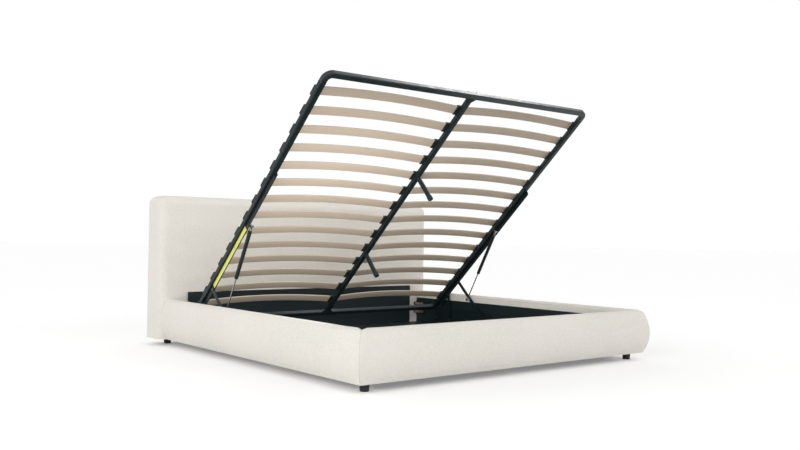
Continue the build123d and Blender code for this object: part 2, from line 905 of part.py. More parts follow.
def centre_holders():
    """Holders on the centre beam, each with pockets for two slats."""
    half = beam_width / 2 + holder_reach
    holders = []
    for place in slat_places():
        pocket = slat_solid(place, slat_fit)
        holders.append(holder((-half, half), place) - pocket - flip(pocket))
    return holders


# Legs under the centre beam

def leg_end_rise():
    """Rise of the soles of the legs, just clear of the storage floor when shut."""
    return floor_top + leg_floor_gap - closed_z


def centre_legs():
    """Two round tube legs."""
    low = leg_end_rise() + leg_cap_wall
    legs = []
    for place in (near_leg, far_leg):
        tube = peg_z(0, -place, (low, -half_tube), leg_radius)
        legs.append(tube - peg_z(0, -place, (low - overrun, -half_tube - leg_wall), leg_radius - leg_wall))
    return legs


def leg_caps():
    """Caps on the ends of the legs."""
    low = leg_end_rise()
    caps = []
    for place in (near_leg, far_leg):
        cap = peg_z(0, -place, (low, low + leg_cap_height), leg_radius + leg_cap_wall)
        cap -= peg_z(0, -place, (low + leg_cap_wall, low + leg_cap_height + overrun), leg_radius)
        caps.append(cap)
    return caps


# Gas struts, drawn along +Y from the upper pin, then turned to their raised angle

def strut_cylinder():
    """Right strut body: closed at the top, with a gland for the rod at the other end."""
    start = strut_body_start
    end = strut_body_start + strut_body_length
    body = peg_y(strut_x, (start, end), 0, strut_radius)
    body -= peg_y(strut_x, (start + strut_cap, end - strut_gland), 0, strut_bore_radius)
    body -= peg_y(strut_x, (end - strut_gland - overrun, end + overrun), 0, rod_radius + pin_fit)
    return place_at(body, strut_top, strut_angle)


def strut_eye(place, bore_radius):
    """Round eye across the strut's axis."""
    width = (strut_x - strut_eye_width / 2, strut_x + strut_eye_width / 2)
    eye = peg_x(width, place, 0, strut_eye_radius)
    return eye - peg_x((width[0] - overrun, width[1] + overrun), place, 0, bore_radius)


def strut_top_end():
    """Bright end fitting of the right strut, with a running bore for its stud."""
    bore = strut_stud_radius + pin_fit
    fitting = strut_eye(0, bore) + peg_y(strut_x, (bore, strut_body_start), 0, strut_neck_radius)
    fitting -= peg_x((strut_x - strut_eye_width, strut_x + strut_eye_width), 0, 0, bore)
    return place_at(fitting, strut_top, strut_angle)


def strut_rod():
    """Right rod with its piston and its lower eye, drawn fully out."""
    start = strut_body_start + strut_cap + strut_travel + rod_reserve
    rod = peg_y(strut_x, (start, strut_span - strut_stud_radius), 0, rod_radius)
    rod += peg_y(strut_x, (start, start + piston_length), 0, strut_bore_radius - piston_fit)
    rod += strut_eye(strut_span, strut_stud_radius)
    return place_at(rod, strut_top, strut_angle)


# Write every sub-part

def fixed_nodes():
    """Sub-parts that stand still."""
    corner, behind = foot_places()
    frame_cuts = both_sides(joint_bolts() + stud_holes([behind], stud_length))
    upholstery = headboard_slab() - headboard_hollow()
    frame = headboard_frame()
    for cut in frame_cuts:
        upholstery -= cut
        frame -= cut
    cloth = headboard_base_cloth()
    for cut in both_sides(stud_holes([behind], stud_length)):
        cloth -= cut
    liner = side_liner()
    board = side_board()
    for screw in bracket_screws() + base_screws() + headboard_bracket_screws():
        liner -= screw
        board -= screw
    end_liner = foot_liner()
    end_board = foot_board()
    for screw in both_sides(bracket_screws()):
        end_liner -= screw
        end_board -= screw
    cover = side_rail_upholstery()
    return {
        "headboard_upholstery": upholstery,
        "headboard_frame": frame,
        "headboard_base_cloth": cloth,
        "side_rail_upholstery_right": cover,
        "side_rail_upholstery_left": flip(cover),
        "foot_rail_upholstery": foot_rail_upholstery(),
        "side_rail_board_right": board,
        "side_rail_board_left": flip(board),
        "foot_rail_board": end_board,
        "side_liner_right": liner,
        "side_liner_left": flip(liner),
        "foot_liner": end_liner,
        "head_panel": head_panel(),
        "panel_spacers": group(panel_spacers()),
        "floor_ledgers": group(both_sides([floor_ledger()])),
        "centre_floor_rail": centre_floor_rail(),
        "floor_board_right": floor_board(),
        "floor_board_left": flip(floor_board()),
        "corner_feet": group(both_sides([foot(*corner, stud_length), foot(*behind, stud_length)])),
        "centre_feet": group([foot(*place, ledger_height) for place in centre_foot_places()]),
        "corner_brackets": group(both_sides([corner_bracket()])),
        "bracket_screws": group(both_sides(bracket_screws() + headboard_bracket_screws())),
        "headboard_brackets": group(both_sides([headboard_bracket()])),
        "joint_bolts": group(both_sides(joint_bolts())),
        "base_plate_right": base_plate(),
        "base_plate_left": flip(base_plate()),
        "base_pivot_pins": group(both_sides(ground_pins())),
        "base_screws": group(both_sides(base_screws())),
    }


def link_nodes():
    """Sub-parts of the two pairs of links."""
    front = front_link()
    rear = rear_link()
    return {
        "front_link_right": front,
        "front_link_left": flip(front),
        "strut_lower_studs": group(both_sides([strut_lower_stud()])),
        "rear_link_right": rear,
        "rear_link_left": flip(rear),
        "rear_link_rivets": group(both_sides([rear_link_rivet()])),
    }


def platform_nodes():
    """Sub-parts of the lifting platform, in its own flat frame."""
    tube = side_tube()
    arm = lift_arm()
    slats = [slat_solid(place, 0) for place in slat_places()]
    holders = side_holders()
    return {
        "platform_side_tube_right": tube,
        "platform_side_tube_left": flip(tube),
        "platform_head_tube": end_tube(0, -1),
        "platform_foot_tube": end_tube(-platform_length, 1),
        "platform_centre_beam": centre_beam(),
        "lift_arm_right": arm,
        "lift_arm_left": flip(arm),
        "slat_holders_right": group(holders),
        "slat_holders_left": group(flip(piece) for piece in holders),
        "slat_holders_centre": group(centre_holders()),
        "slats_right": group(slats),
        "slats_left": group(flip(slat) for slat in slats),
        "centre_legs": group(centre_legs()),
        "leg_caps": group(leg_caps()),
        "platform_bolts": group(both_sides(arm_bolts())),
        "arm_pivot_pins": group(both_sides(arm_pins())),
        "strut_upper_studs": group(both_sides([strut_upper_stud()])),
        "stop_buttons": group(stop_buttons()),
        "marker_strip": marker_strip(),
    }


def strut_nodes():
    """Sub-parts of the two gas struts."""
    body = strut_cylinder()
    rod = strut_rod()
    return {
        "strut_cylinder_right": body,
        "strut_cylinder_left": flip(body),
        "strut_top_ends": group(both_sides([strut_top_end()])),
        "strut_rod_right": rod,
        "strut_rod_left": flip(rod),
    }


def print_joints():
    """Joint places, rest angles and travels, for whoever sets up the motion."""
    front_turn = front_shut_angle - front_angle
    rear_turn = rear_shut_angle - rear_angle
    platform_turn = lift_angle - front_turn
    strut_turn = strut_shut_angle - strut_angle - lift_angle
    rows = (("front ground pin", front_ground, front_turn), ("rear ground pin", rear_ground, rear_turn),
            ("front arm pin", front_open, platform_turn), ("strut top pin", strut_top, strut_turn),
            ("strut lower eye", strut_foot, -strut_travel))
    for label, point, travel in rows:
        print(f"{label}: y {point[0]:.3f} z {point[1]:.3f} travel {travel:.4f}")
    print(f"strut direction: y {cos(radians(strut_angle)):.6f} z {sin(radians(strut_angle)):.6f}")


def main():
    """Build and write the whole bed."""
    os.makedirs("parts", exist_ok=True)
    for name, shape in (fixed_nodes() | link_nodes() | strut_nodes()).items():
        write(name, shape)
    for name, shape in platform_nodes().items():
        write(name, platform_pose * shape)
    print_joints()


main()
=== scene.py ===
"""Looks of a padded storage bed whose slatted platform is raised on its linkage.

Every length is in metres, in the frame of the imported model: +X to the right seen
from the foot, +Y towards the headboard, +Z up, origin on the floor under the bed.
"""

import json
import logging
import math
from dataclasses import dataclass, field
from enum import Enum

import bmesh
import bpy
import numpy as np
from mathutils import Matrix, Vector

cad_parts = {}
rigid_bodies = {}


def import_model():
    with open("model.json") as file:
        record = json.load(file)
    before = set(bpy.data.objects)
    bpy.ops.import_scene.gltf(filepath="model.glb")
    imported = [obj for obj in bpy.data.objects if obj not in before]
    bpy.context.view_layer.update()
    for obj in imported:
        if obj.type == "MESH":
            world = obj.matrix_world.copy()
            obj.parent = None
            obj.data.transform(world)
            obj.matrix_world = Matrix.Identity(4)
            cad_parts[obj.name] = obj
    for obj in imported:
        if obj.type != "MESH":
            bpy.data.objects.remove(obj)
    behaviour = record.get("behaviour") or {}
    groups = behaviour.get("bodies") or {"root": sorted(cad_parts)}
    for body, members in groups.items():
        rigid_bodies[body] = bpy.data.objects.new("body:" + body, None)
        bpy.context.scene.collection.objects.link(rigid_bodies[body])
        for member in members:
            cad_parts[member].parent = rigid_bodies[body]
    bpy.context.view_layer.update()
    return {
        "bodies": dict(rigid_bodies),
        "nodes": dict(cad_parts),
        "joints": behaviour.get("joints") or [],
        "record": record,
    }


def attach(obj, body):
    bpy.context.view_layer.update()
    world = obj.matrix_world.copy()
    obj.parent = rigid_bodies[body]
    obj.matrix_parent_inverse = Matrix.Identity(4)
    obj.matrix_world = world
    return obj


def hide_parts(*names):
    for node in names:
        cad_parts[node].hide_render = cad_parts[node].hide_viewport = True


LOG = logging.getLogger("storage_bed")
MM = 0.001
MERGE_DISTANCE = 0.001 * MM
TINY = 1e-9
SHARP_HARDWARE = 35.0
SHARP_PIECE = 40.0
SHARP_STRUT = 45.0
SHARP_CLOTH = 60.0

Point = tuple[float, float, float]
Colour = tuple[float, float, float, float]


@dataclass(frozen=True)
class BedLines:
    """Driving lines of the bed, the same as the solids are built from."""

    inner_x: float = 975.0 * MM
    foot_y: float = -1101.5 * MM
    head_y: float = 946.0 * MM
    back_y: float = 1170.0 * MM
    headboard_top: float = 939.5 * MM
    headboard_overhang: float = 32.0 * MM
    headboard_edge_radius: float = 55.0 * MM
    rail_bottom: float = 40.0 * MM
    rail_depth: float = 33.5 * MM
    rail_reach: float = 68.5 * MM
    board_face: float = 21.0 * MM
    liner_thickness: float = 3.0 * MM
    board_top: float = 275.0 * MM
    liner_top: float = 240.0 * MM
    bulge_z: float = 168.0 * MM
    crown_z: float = 293.0 * MM
    crown_inset: float = 22.0 * MM
    shoulder_radius: float = 30.0 * MM
    open_y: float = 717.0 * MM
    open_z: float = 172.8 * MM
    lift_angle: float = 42.15
    platform_length: float = 1967.5 * MM
    platform_half: float = 963.0 * MM
    half_tube: float = 14.0 * MM
    tube_width: float = 34.0 * MM
    beam_width: float = 30.0 * MM

    @property
    def outer_x(self) -> float:
        """Outermost line of the padded rails."""
        return self.inner_x + self.rail_reach

    @property
    def headboard_half(self) -> float:
        """Half the width of the headboard."""
        return self.outer_x + self.headboard_overhang

    def raise_platform(self, points: np.ndarray) -> np.ndarray:
        """Carry points from the flat platform frame to the raised place.

        The frame is turned about X by the lift angle, nose up at the foot, and moved
        to the head edge of the platform.

        Args:
            points: Array of (..., 3) points, +Y towards the head, +Z above the tubes.

        Returns:
            Points in the bed's frame, same shape.
        """
        turn = math.radians(self.lift_angle)
        along, up = points[..., 1], points[..., 2]
        moved = points.copy()
        moved[..., 1] = self.open_y + along * math.cos(turn) + up * math.sin(turn)
        moved[..., 2] = self.open_z - along * math.sin(turn) + up * math.cos(turn)
        return moved

    def lower_platform(self, points: np.ndarray) -> np.ndarray:
        """Carry points from the raised place back to the flat platform frame.

        Args:
            points: Array of (..., 3) points in the bed's frame.

        Returns:
            Points in the flat platform frame, same shape.
        """
        turn = math.radians(self.lift_angle)
        along, up = points[..., 1] - self.open_y, points[..., 2] - self.open_z
        moved = points.copy()
        moved[..., 1] = along * math.cos(turn) - up * math.sin(turn)
        moved[..., 2] = along * math.sin(turn) + up * math.cos(turn)
        return moved


LINES = BedLines()


# Mesh arrays


def smooth_step(share: np.ndarray) -> np.ndarray:
    """Soft rise from 0 to 1: 3t^2 - 2t^3, t being the share kept between 0 and 1."""
    share = np.clip(share, 0.0, 1.0)
    return share * share * (3 - 2 * share)


def unit(vectors: np.ndarray) -> np.ndarray:
    """Vectors along the last axis, each divided by its length."""
    return vectors / np.linalg.norm(vectors, axis=-1, keepdims=True)


def grid_quads(rows: int, columns: int, wrap_columns: bool = False) -> np.ndarray:
    """Quads between neighbouring points of a grid.

    Args:
        rows: Number of points down the grid.
        columns: Number of points across the grid.
        wrap_columns: Whether the last column joins the first.

    Returns:
        Array of (n, 4) point numbers, point (r, c) being r * columns + c.
    """
    row = np.arange(rows - 1)
    column = np.arange(columns if wrap_columns else columns - 1)
    row, column = np.meshgrid(row, column, indexing="ij")
    after = (column + 1) % columns
    here, below = row * columns, (row + 1) * columns
    corners = [here + column, here + after, below + after, below + column]
    return np.stack(corners, axis=-1).reshape(-1, 4)


def closed_sweep(rings: np.ndarray) -> tuple[np.ndarray, np.ndarray]:
    """Join rings into closed skins, each end drawn together in its ring's middle.

    Args:
        rings: Array of (pieces, rings, ring points, 3), or the same without pieces.

    Returns:
        Points (n, 3) and quads (m, 4) of all pieces together.
    """
    if rings.ndim == 3:
        rings = rings[None]
    first = np.repeat(rings[:, :1].mean(axis=2, keepdims=True), rings.shape[2], axis=2)
    last = np.repeat(rings[:, -1:].mean(axis=2, keepdims=True), rings.shape[2], axis=2)
    full = np.concatenate([first, rings, last], axis=1)
    pieces, rows, columns = full.shape[:3]
    quads = grid_quads(rows, columns, wrap_columns=True)
    offsets = np.arange(pieces)[:, None, None] * rows * columns
    return full.reshape(-1, 3), (quads[None] + offsets).reshape(-1, 4)


def resample(points: np.ndarray, count: int) -> np.ndarray:
    """Evenly spaced points along a line, by its length.

    Args:
        points: Array of (n, d) points along the line.
        count: Number of points wanted.

    Returns:
        Array of (count, d) points.
    """
    steps = np.linalg.norm(np.diff(points, axis=0), axis=1)
    travelled = np.concatenate([[0.0], np.cumsum(steps)])
    wanted = np.linspace(0.0, travelled[-1], count)
    return np.stack([np.interp(wanted, travelled, values) for values in points.T], axis=-1)


def circle(sides: int) -> tuple[np.ndarray, np.ndarray]:
    """Cosines and sines of evenly spaced angles all round, the last short of the first."""
    angle = np.linspace(0.0, 2 * math.pi, sides, endpoint=False)
    return np.cos(angle), np.sin(angle)


def arc(
    centre: tuple[float, float], radius: float, start: float, end: float, count: int = 24
) -> np.ndarray:
    """Points on a circle: centre + radius * (cos, sin) of evenly spaced angles.

    Args:
        centre: Middle of the circle.
        radius: Its radius.
        start: First angle, in radians.
        end: Last angle, in radians.
        count: Number of points.

    Returns:
        Array of (count, 2) points.
    """
    angle = np.linspace(start, end, count)
    return np.stack([centre[0] + radius * np.cos(angle), centre[1] + radius * np.sin(angle)], axis=-1)


def eased(low: float, high: float, zone: float, fine: int, step: float) -> np.ndarray:
    """Places between two ends, closer together within a zone at each end.

    Inside a zone r the distance from its inner edge is r * tan(angle), with even
    angles up to an eighth of a turn; between the zones the places are even.

    Args:
        low: First place.
        high: Last place.
        zone: Length of the fine zone at each end.
        fine: Number of steps in each zone.
        step: Wanted step between the zones.

    Returns:
        Increasing array of places.
    """
    edge = zone * np.tan(np.linspace(0.0, math.pi / 4, fine + 1))
    middle = np.linspace(low + zone, high - zone, max(2, round((high - low - 2 * zone) / step) + 1))
    return np.concatenate([(low + zone - edge[::-1])[:-1], middle, (high - zone + edge)[1:]])


def box_shell(places: list[np.ndarray]) -> tuple[np.ndarray, np.ndarray]:
    """Six grids that cover a box, one for each face.

    Args:
        places: Grid places along X, Y and Z.

    Returns:
        Points (n, 3) and quads (m, 4); neighbouring faces don't share points yet.
    """
    points, quads, total = [], [], 0
    for axis in range(3):
        first, second = [other for other in range(3) if other != axis]
        across, along = np.meshgrid(places[first], places[second], indexing="ij")
        for end in (places[axis][0], places[axis][-1]):
            face = np.empty(across.shape + (3,))
            face[..., first], face[..., second], face[..., axis] = across, along, end
            points.append(face.reshape(-1, 3))
            quads.append(grid_quads(*across.shape) + total)
            total += across.size
    return np.concatenate(points), np.concatenate(quads)


def make_piece(
    name: str, points: np.ndarray, faces: np.ndarray, sharp_angle: float = SHARP_PIECE
) -> bpy.types.Object:
    """Put arrays into a mesh object, merge doubles and turn its faces outwards.

    Args:
        name: Name of the piece.
        points: Array of (n, 3) points.
        faces: Array of (m, 4) or (m, 3) point numbers.
        sharp_angle: Edges that turn more than this many degrees stay sharp.

    Returns:
        The new object, at the origin.
    """
    mesh = bpy.data.meshes.new(name)
    mesh.from_pydata(points.tolist(), [], faces.tolist())
    work = bmesh.new()
    work.from_mesh(mesh)
    bmesh.ops.remove_doubles(work, verts=work.verts, dist=MERGE_DISTANCE)
    bmesh.ops.recalc_face_normals(work, faces=work.faces)
    work.to_mesh(mesh)
    work.free()
    mesh.shade_smooth()
    mesh.set_sharp_from_angle(angle=math.radians(sharp_angle))
    piece = bpy.data.objects.new(name, mesh)
    bpy.context.scene.collection.objects.link(piece)
    return piece


def both(*names: str) -> tuple[str, ...]:
    """Each name with _left and with _right after it."""
    return tuple(f"{name}_{side}" for name in names for side in ("left", "right"))


def place_piece(piece: bpy.types.Object, body: str, slot: str, *nodes: str) -> bpy.types.Object:
    """Give a piece its body, hide the nodes that it stands for, and report it.

    Args:
        piece: Finished piece.
        body: Body that it moves with.
        slot: Name of its material slot; not used.
        nodes: Nodes whose place it takes.

    Returns:
        The same piece.
    """
    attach(piece, body)
    if nodes:
        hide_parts(*nodes)
    LOG.info("%s: %d faces on %s", piece.name, len(piece.data.polygons), body)
    return piece


def coordinates(mesh: bpy.types.Mesh) -> np.ndarray:
    """Vertex places of a mesh as an (n, 3) array.

    Args:
        mesh: Mesh to read.

    Returns:
        Array of (n, 3).
    """
    flat = np.empty(len(mesh.vertices) * 3)
    mesh.vertices.foreach_get("co", flat)
    return flat.reshape(-1, 3)


# Cloth


@dataclass(frozen=True)
class Inflation:
    """How a cover is blown up over its foam by a pressure simulation."""

    pressure: float = 4.0
    cap: float = 5.0 * MM
    frames: int = 20
    mass: float = 0.3
    damping: float = 2.0
    stiffness: float = 12.0
    bending: float = 6.0
    quality: int = 5
    rounds: int = 10
    held_below: float = 0.02

    def run(self, piece: bpy.types.Object, free: np.ndarray) -> None:
        """Simulate the cover and keep its swollen shape.

        The foam stops all movement against the normal. The movement is shared between
        neighbours, then a movement d is shortened to cap * tanh(|d| / cap) and scaled
        by how free the point is, so that glued and stapled edges stay in place.

        Args:
            piece: Closed mesh object.
            free: Freedom of each vertex, 0 held to 1 loose.
        """
        start = coordinates(piece.data)
        normals = self.normals(piece)
        moved = self.simulate(piece, free)
        step = moved - start
        step -= np.minimum(0.0, (step * normals).sum(axis=1, keepdims=True)) * normals
        step = self.share_out(piece, step)
        length = np.linalg.norm(step, axis=1, keepdims=True)
        step *= self.cap * np.tanh(length / self.cap) / np.maximum(length, TINY) * free[:, None]
        piece.data.vertices.foreach_set("co", (start + step).ravel())
        piece.data.update()
        most = np.linalg.norm(step, axis=1).max() / MM
        LOG.info("%s: swelled by up to %.1f mm", piece.name, most)

    def normals(self, piece: bpy.types.Object) -> np.ndarray:
        """Unit normals of all points of a mesh.

        Args:
            piece: Mesh object.

        Returns:
            Array of (n, 3).
        """
        flat = np.empty(len(piece.data.vertices) * 3)
        piece.data.vertex_normals.foreach_get("vector", flat)
        return flat.reshape(-1, 3)

    def share_out(self, piece: bpy.types.Object, step: np.ndarray) -> np.ndarray:
        """Replace each movement by the mean of itself and its neighbours' mean, in rounds.

        Args:
            piece: Mesh object whose edges join the neighbours.
            step: Movement of each vertex.

        Returns:
            The shared movement, same shape.
        """
        flat = np.empty(len(piece.data.edges) * 2, dtype=np.int32)
        piece.data.edges.foreach_get("vertices", flat)
        first, second = flat.reshape(-1, 2).T
        count = np.maximum(np.bincount(flat, minlength=len(step)), 1)[:, None]
        for _ in range(self.rounds):
            total = np.zeros_like(step)
            np.add.at(total, first, step[second])
            np.add.at(total, second, step[first])
            step = (step + total / count) / 2
        return step

    def simulate(self, piece: bpy.types.Object, free: np.ndarray) -> np.ndarray:
        """Run the cloth with its held points pinned, resisting shear half as much as pull.

        Args:
            piece: Closed mesh object.
            free: Freedom of each vertex, 0 held to 1 loose.

        Returns:
            Where the points end.
        """
        group = piece.vertex_groups.new(name="held")
        group.add(np.flatnonzero(free < self.held_below).tolist(), 1.0, "REPLACE")
        cloth = piece.modifiers.new("Cloth", "CLOTH")
        cloth.settings.quality = self.quality
        cloth.settings.mass = self.mass
        cloth.settings.air_damping = self.damping
        cloth.settings.tension_stiffness = self.stiffness
        cloth.settings.compression_stiffness = self.stiffness
        cloth.settings.shear_stiffness = self.stiffness / 2
        cloth.settings.bending_stiffness = self.bending
        cloth.settings.vertex_group_mass = group.name
        cloth.settings.use_pressure = True
        cloth.settings.uniform_pressure_force = self.pressure
        cloth.settings.effector_weights.gravity = 0.0
        cloth.point_cache.frame_start = 1
        cloth.point_cache.frame_end = self.frames
        scene = bpy.context.scene
        for frame in range(1, self.frames + 1):
            scene.frame_set(frame)
        swollen = piece.evaluated_get(bpy.context.evaluated_depsgraph_get())
        moved = coordinates(swollen.data)
        piece.modifiers.remove(cloth)
        piece.vertex_groups.remove(group)
        scene.frame_set(1)
        return moved


def subdivide(piece: bpy.types.Object) -> None:
    """Add one level of subdivision that stays live and keeps sharp edges in place.

    Args:
        piece: Mesh object.
    """
    sharp = np.zeros(len(piece.data.edges), dtype=bool)
    piece.data.edges.foreach_get("use_edge_sharp", sharp)
    crease = piece.data.attributes.new("crease_edge", "FLOAT", "EDGE")
    crease.data.foreach_set("value", sharp.astype(np.float32))
    smooth = piece.modifiers.new("Subdivision", "SUBSURF")
    smooth.levels = 1
    smooth.render_levels = 1


# Materials


@dataclass
class Graph:
    """A node tree with short ways to add and join its nodes."""

    tree: bpy.types.NodeTree
    mix_inputs: tuple[int, int, int] = (0, 6, 7)
    mix_output: int = 2

    def add(self, kind: str, settings: dict | None = None, **sockets: object) -> bpy.types.Node:
        """Add a node, set its properties, and set or link its inputs.

        Args:
            kind: Node type without its ShaderNode prefix.
            settings: Properties of the node.
            sockets: Input name, with spaces as underscores, to a value or output socket.

        Returns:
            The node.
        """
        node = self.tree.nodes.new("ShaderNode" + kind)
        for key, value in (settings or {}).items():
            setattr(node, key, value)
        for key, value in sockets.items():
            self.feed(node.inputs[key.replace("_", " ")], value)
        return node

    def feed(self, socket: bpy.types.NodeSocket, value: object) -> None:
        """Link an output to a socket, or set the socket's value.

        Args:
            socket: Input socket.
            value: Value, or output socket.
        """
        if isinstance(value, bpy.types.NodeSocket):
            self.tree.links.new(value, socket)
        else:
            socket.default_value = value

    def math(self, operation: str, first: object, second: object = 0.0) -> bpy.types.NodeSocket:
        """Value of one sum on two inputs.

        Args:
            operation: Name of the sum.
            first: First value or output.
            second: Second one.

        Returns:
            The sum's output.
        """
        node = self.add("Math", {"operation": operation})
        self.feed(node.inputs[0], first)
        self.feed(node.inputs[1], second)
        return node.outputs[0]

    def spread(
        self, value: object, low: float, high: float, to_low: float = 0.0, to_high: float = 1.0
    ) -> bpy.types.NodeSocket:
        """Map a value from one range to another, clamped at both ends.

        Args:
            value: Value or output.
            low: Start of its range.
            high: End of its range.
            to_low: What the start becomes.
            to_high: What the end becomes.

        Returns:
            The mapped output.
        """
        node = self.add("MapRange", None, Value=value, From_Min=low, From_Max=high)
        self.feed(node.inputs["To Min"], to_low)
        self.feed(node.inputs["To Max"], to_high)
        return node.outputs[0]

    def mix(
        self, share: object, first: object, second: object, blend: str = "MIX"
    ) -> bpy.types.NodeSocket:
        """Colour between two colours, by a share or a blend mode.

        Args:
            share: Share of the second colour, a value or output.
            first: First colour or output.
            second: Second one.
            blend: How the second is laid over the first.

        Returns:
            The mixed colour's output.
        """
        node = self.add("Mix", {"data_type": "RGBA", "blend_type": blend})
        for place, value in zip(self.mix_inputs, (share, first, second)):
            self.feed(node.inputs[place], value)
        return node.outputs[self.mix_output]

    def vector(self, operation: str, first: object, second: object) -> bpy.types.NodeSocket:
        """Vector sum or product of two inputs.

        Args:
            operation: Name of the sum.
            first: First vector or output.
            second: Second one.

        Returns:
            The sum's output.
        """
        node = self.add("VectorMath", {"operation": operation})
        self.feed(node.inputs[0], first)
        self.feed(node.inputs[1], second)
        return node.outputs[0]

    def group(self, tree: bpy.types.NodeTree, **sockets: object) -> bpy.types.Node:
        """Place a shared group and feed its inputs."""
        return self.add("Group", {"node_tree": tree}, **sockets)


def shade(red: int, green: int, blue: int) -> Colour:
    """Linear colour of a display colour, each part given from 0 to 255.

    Each channel c is c / 12.92 up to 0.04045, and ((c + 0.055) / 1.055) ** 2.4 above.

    Args:
        red: Red part.
        green: Green part.
        blue: Blue part.

    Returns:
        Red, green, blue and a full alpha, as the nodes take them.
    """
    channel = np.array([red, green, blue]) / 255.0
    linear = np.where(channel <= 0.04045, channel / 12.92, ((channel + 0.055) / 1.055) ** 2.4)
    return (float(linear[0]), float(linear[1]), float(linear[2]), 1.0)


def new_group(
    name: str, inputs: dict[str, str], outputs: dict[str, str]
) -> tuple[Graph, dict, bpy.types.Node]:
    """Start a shared node group.

    Args:
        name: Name of the group.
        inputs: Socket name to kind, Float, Vector or Color.
        outputs: Socket name to kind.

    Returns:
        Its graph, its input sockets by name, and its output node.
    """
    tree = bpy.data.node_groups.new(name, "ShaderNodeTree")
    for socket, kind in inputs.items():
        tree.interface.new_socket(socket, in_out="INPUT", socket_type="NodeSocket" + kind)
    for socket, kind in outputs.items():
        tree.interface.new_socket(socket, in_out="OUTPUT", socket_type="NodeSocket" + kind)
    graph = Graph(tree)
    entry = tree.nodes.new("NodeGroupInput")
    leave = tree.nodes.new("NodeGroupOutput")
    return graph, {socket.name: socket for socket in entry.outputs if socket.name}, leave


@dataclass(frozen=True)
class SharedEffect:
    """Base of the node groups that finishes share: a name, and a tree made at its first use."""

    name: str

    def tree(self) -> bpy.types.NodeTree:
        """The effect's node group."""
        found = bpy.data.node_groups.get(self.name)
        return self.build() if found is None else found

    def build(self) -> bpy.types.NodeTree:
        """Make the group; each effect has its own way."""
        raise NotImplementedError


@dataclass(frozen=True)
class LoopedPile(SharedEffect):
    """Looped wool: rounded cells bent by noise, with finer fibres and slow lumps on them.

    The scales of fibres and clumps are shares of the loops' own.
    """

    name: str = "looped_pile"
    warp_scale: float = 140.0
    warp_reach: float = 6.0 * MM
    loop_softness: float = 0.4
    loop_edge: float = 0.75
    fibre_scale_share: float = 3.2
    fibre_roughness: float = 0.7
    clump_scale_share: float = 0.28
    curl_share: float = 0.55
    hair_share: float = 0.25
    lump_share: float = 0.4
    shade_range: tuple[float, float] = (0.25, 0.85)
    drift_scale: float = 2.6
    drift_range: tuple[float, float] = (0.32, 0.68)

    def build(self) -> bpy.types.NodeTree:
        """Height is the sum of loops, fibres and clumps, each times its share.

        A loop's own height is one at its middle and falls evenly to zero at its edge.
        Shade is the height stretched over its usual range, which paints shade into
        the hollows between the loops, and Drift a slow change over the whole cloth.

        Returns:
            The node group.
        """
        graph, entry, leave = new_group(
            self.name,
            {"Vector": "Vector", "Scale": "Float"},
            {"Height": "Float", "Shade": "Float", "Drift": "Float"},
        )
        place, scale = entry["Vector"], entry["Scale"]
        warp = graph.add("TexNoise", None, Vector=place, Scale=self.warp_scale, Detail=2.0)
        bent = graph.vector("MULTIPLY_ADD", warp.outputs["Color"], (self.warp_reach,) * 3)
        graph.feed(bent.node.inputs[2], place)
        loops = graph.add("TexVoronoi", {"feature": "SMOOTH_F1"}, Vector=bent, Scale=scale)
        graph.feed(loops.inputs["Smoothness"], self.loop_softness)
        fibres = graph.add("TexNoise", None, Vector=bent, Detail=3.0, Roughness=self.fibre_roughness)
        graph.feed(fibres.inputs["Scale"], graph.math("MULTIPLY", scale, self.fibre_scale_share))
        clump_scale = graph.math("MULTIPLY", scale, self.clump_scale_share)
        clumps = graph.add("TexNoise", None, Vector=place, Scale=clump_scale, Detail=2.0)
        rounded = graph.spread(loops.outputs["Distance"], 0.0, self.loop_edge, 1.0, 0.0)
        curls = graph.math("MULTIPLY", rounded, self.curl_share)
        hairs = graph.math("MULTIPLY", fibres.outputs[0], self.hair_share)
        lumps = graph.math("MULTIPLY", clumps.outputs[0], self.lump_share)
        height = graph.math("ADD", graph.math("ADD", curls, hairs), lumps)
        drift = graph.add("TexNoise", None, Vector=place, Scale=self.drift_scale, Detail=3.0)
        graph.feed(leave.inputs["Height"], height)
        graph.feed(leave.inputs["Shade"], graph.spread(height, *self.shade_range))
        graph.feed(leave.inputs["Drift"], graph.spread(drift.outputs[0], *self.drift_range))
        return graph.tree


@dataclass(frozen=True)
class WoodGrain(SharedEffect):
    """Grain along the first coordinate: slow noise stretched twenty to one, and fine pores."""

    name: str = "wood_grain"
    figure_stretch: Point = (2.2, 46.0, 46.0)
    figure_range: tuple[float, float] = (0.3, 0.7)
    pore_stretch: Point = (30.0, 900.0, 900.0)
    pore_range: tuple[float, float] = (0.56, 0.7)
    ridge_share: float = 0.4
    pore_share: float = 0.6

    def build(self) -> bpy.types.NodeTree:
        """Pores are short dark dashes; Height is the figure's share less that of the pores.

        Returns:
            The node group.
        """
        graph, entry, leave = new_group(
            self.name, {"Vector": "Vector"}, {"Figure": "Float", "Pores": "Float", "Height": "Float"}
        )
        long = graph.vector("MULTIPLY", entry["Vector"], self.figure_stretch)
        figure = graph.add("TexNoise", None, Vector=long, Scale=1.0, Detail=4.0, Roughness=0.6)
        graph.feed(figure.inputs["Distortion"], 0.6)
        short = graph.vector("MULTIPLY", entry["Vector"], self.pore_stretch)
        dashes = graph.add("TexNoise", None, Vector=short, Scale=1.0, Detail=2.0)
        pores = graph.spread(dashes.outputs[0], *self.pore_range)
        ridges = graph.math("MULTIPLY", figure.outputs[0], self.ridge_share)
        height = graph.math("SUBTRACT", ridges, graph.math("MULTIPLY", pores, self.pore_share))
        graph.feed(leave.inputs["Figure"], graph.spread(figure.outputs[0], *self.figure_range))
        graph.feed(leave.inputs["Pores"], pores)
        graph.feed(leave.inputs["Height"], height)
        return graph.tree


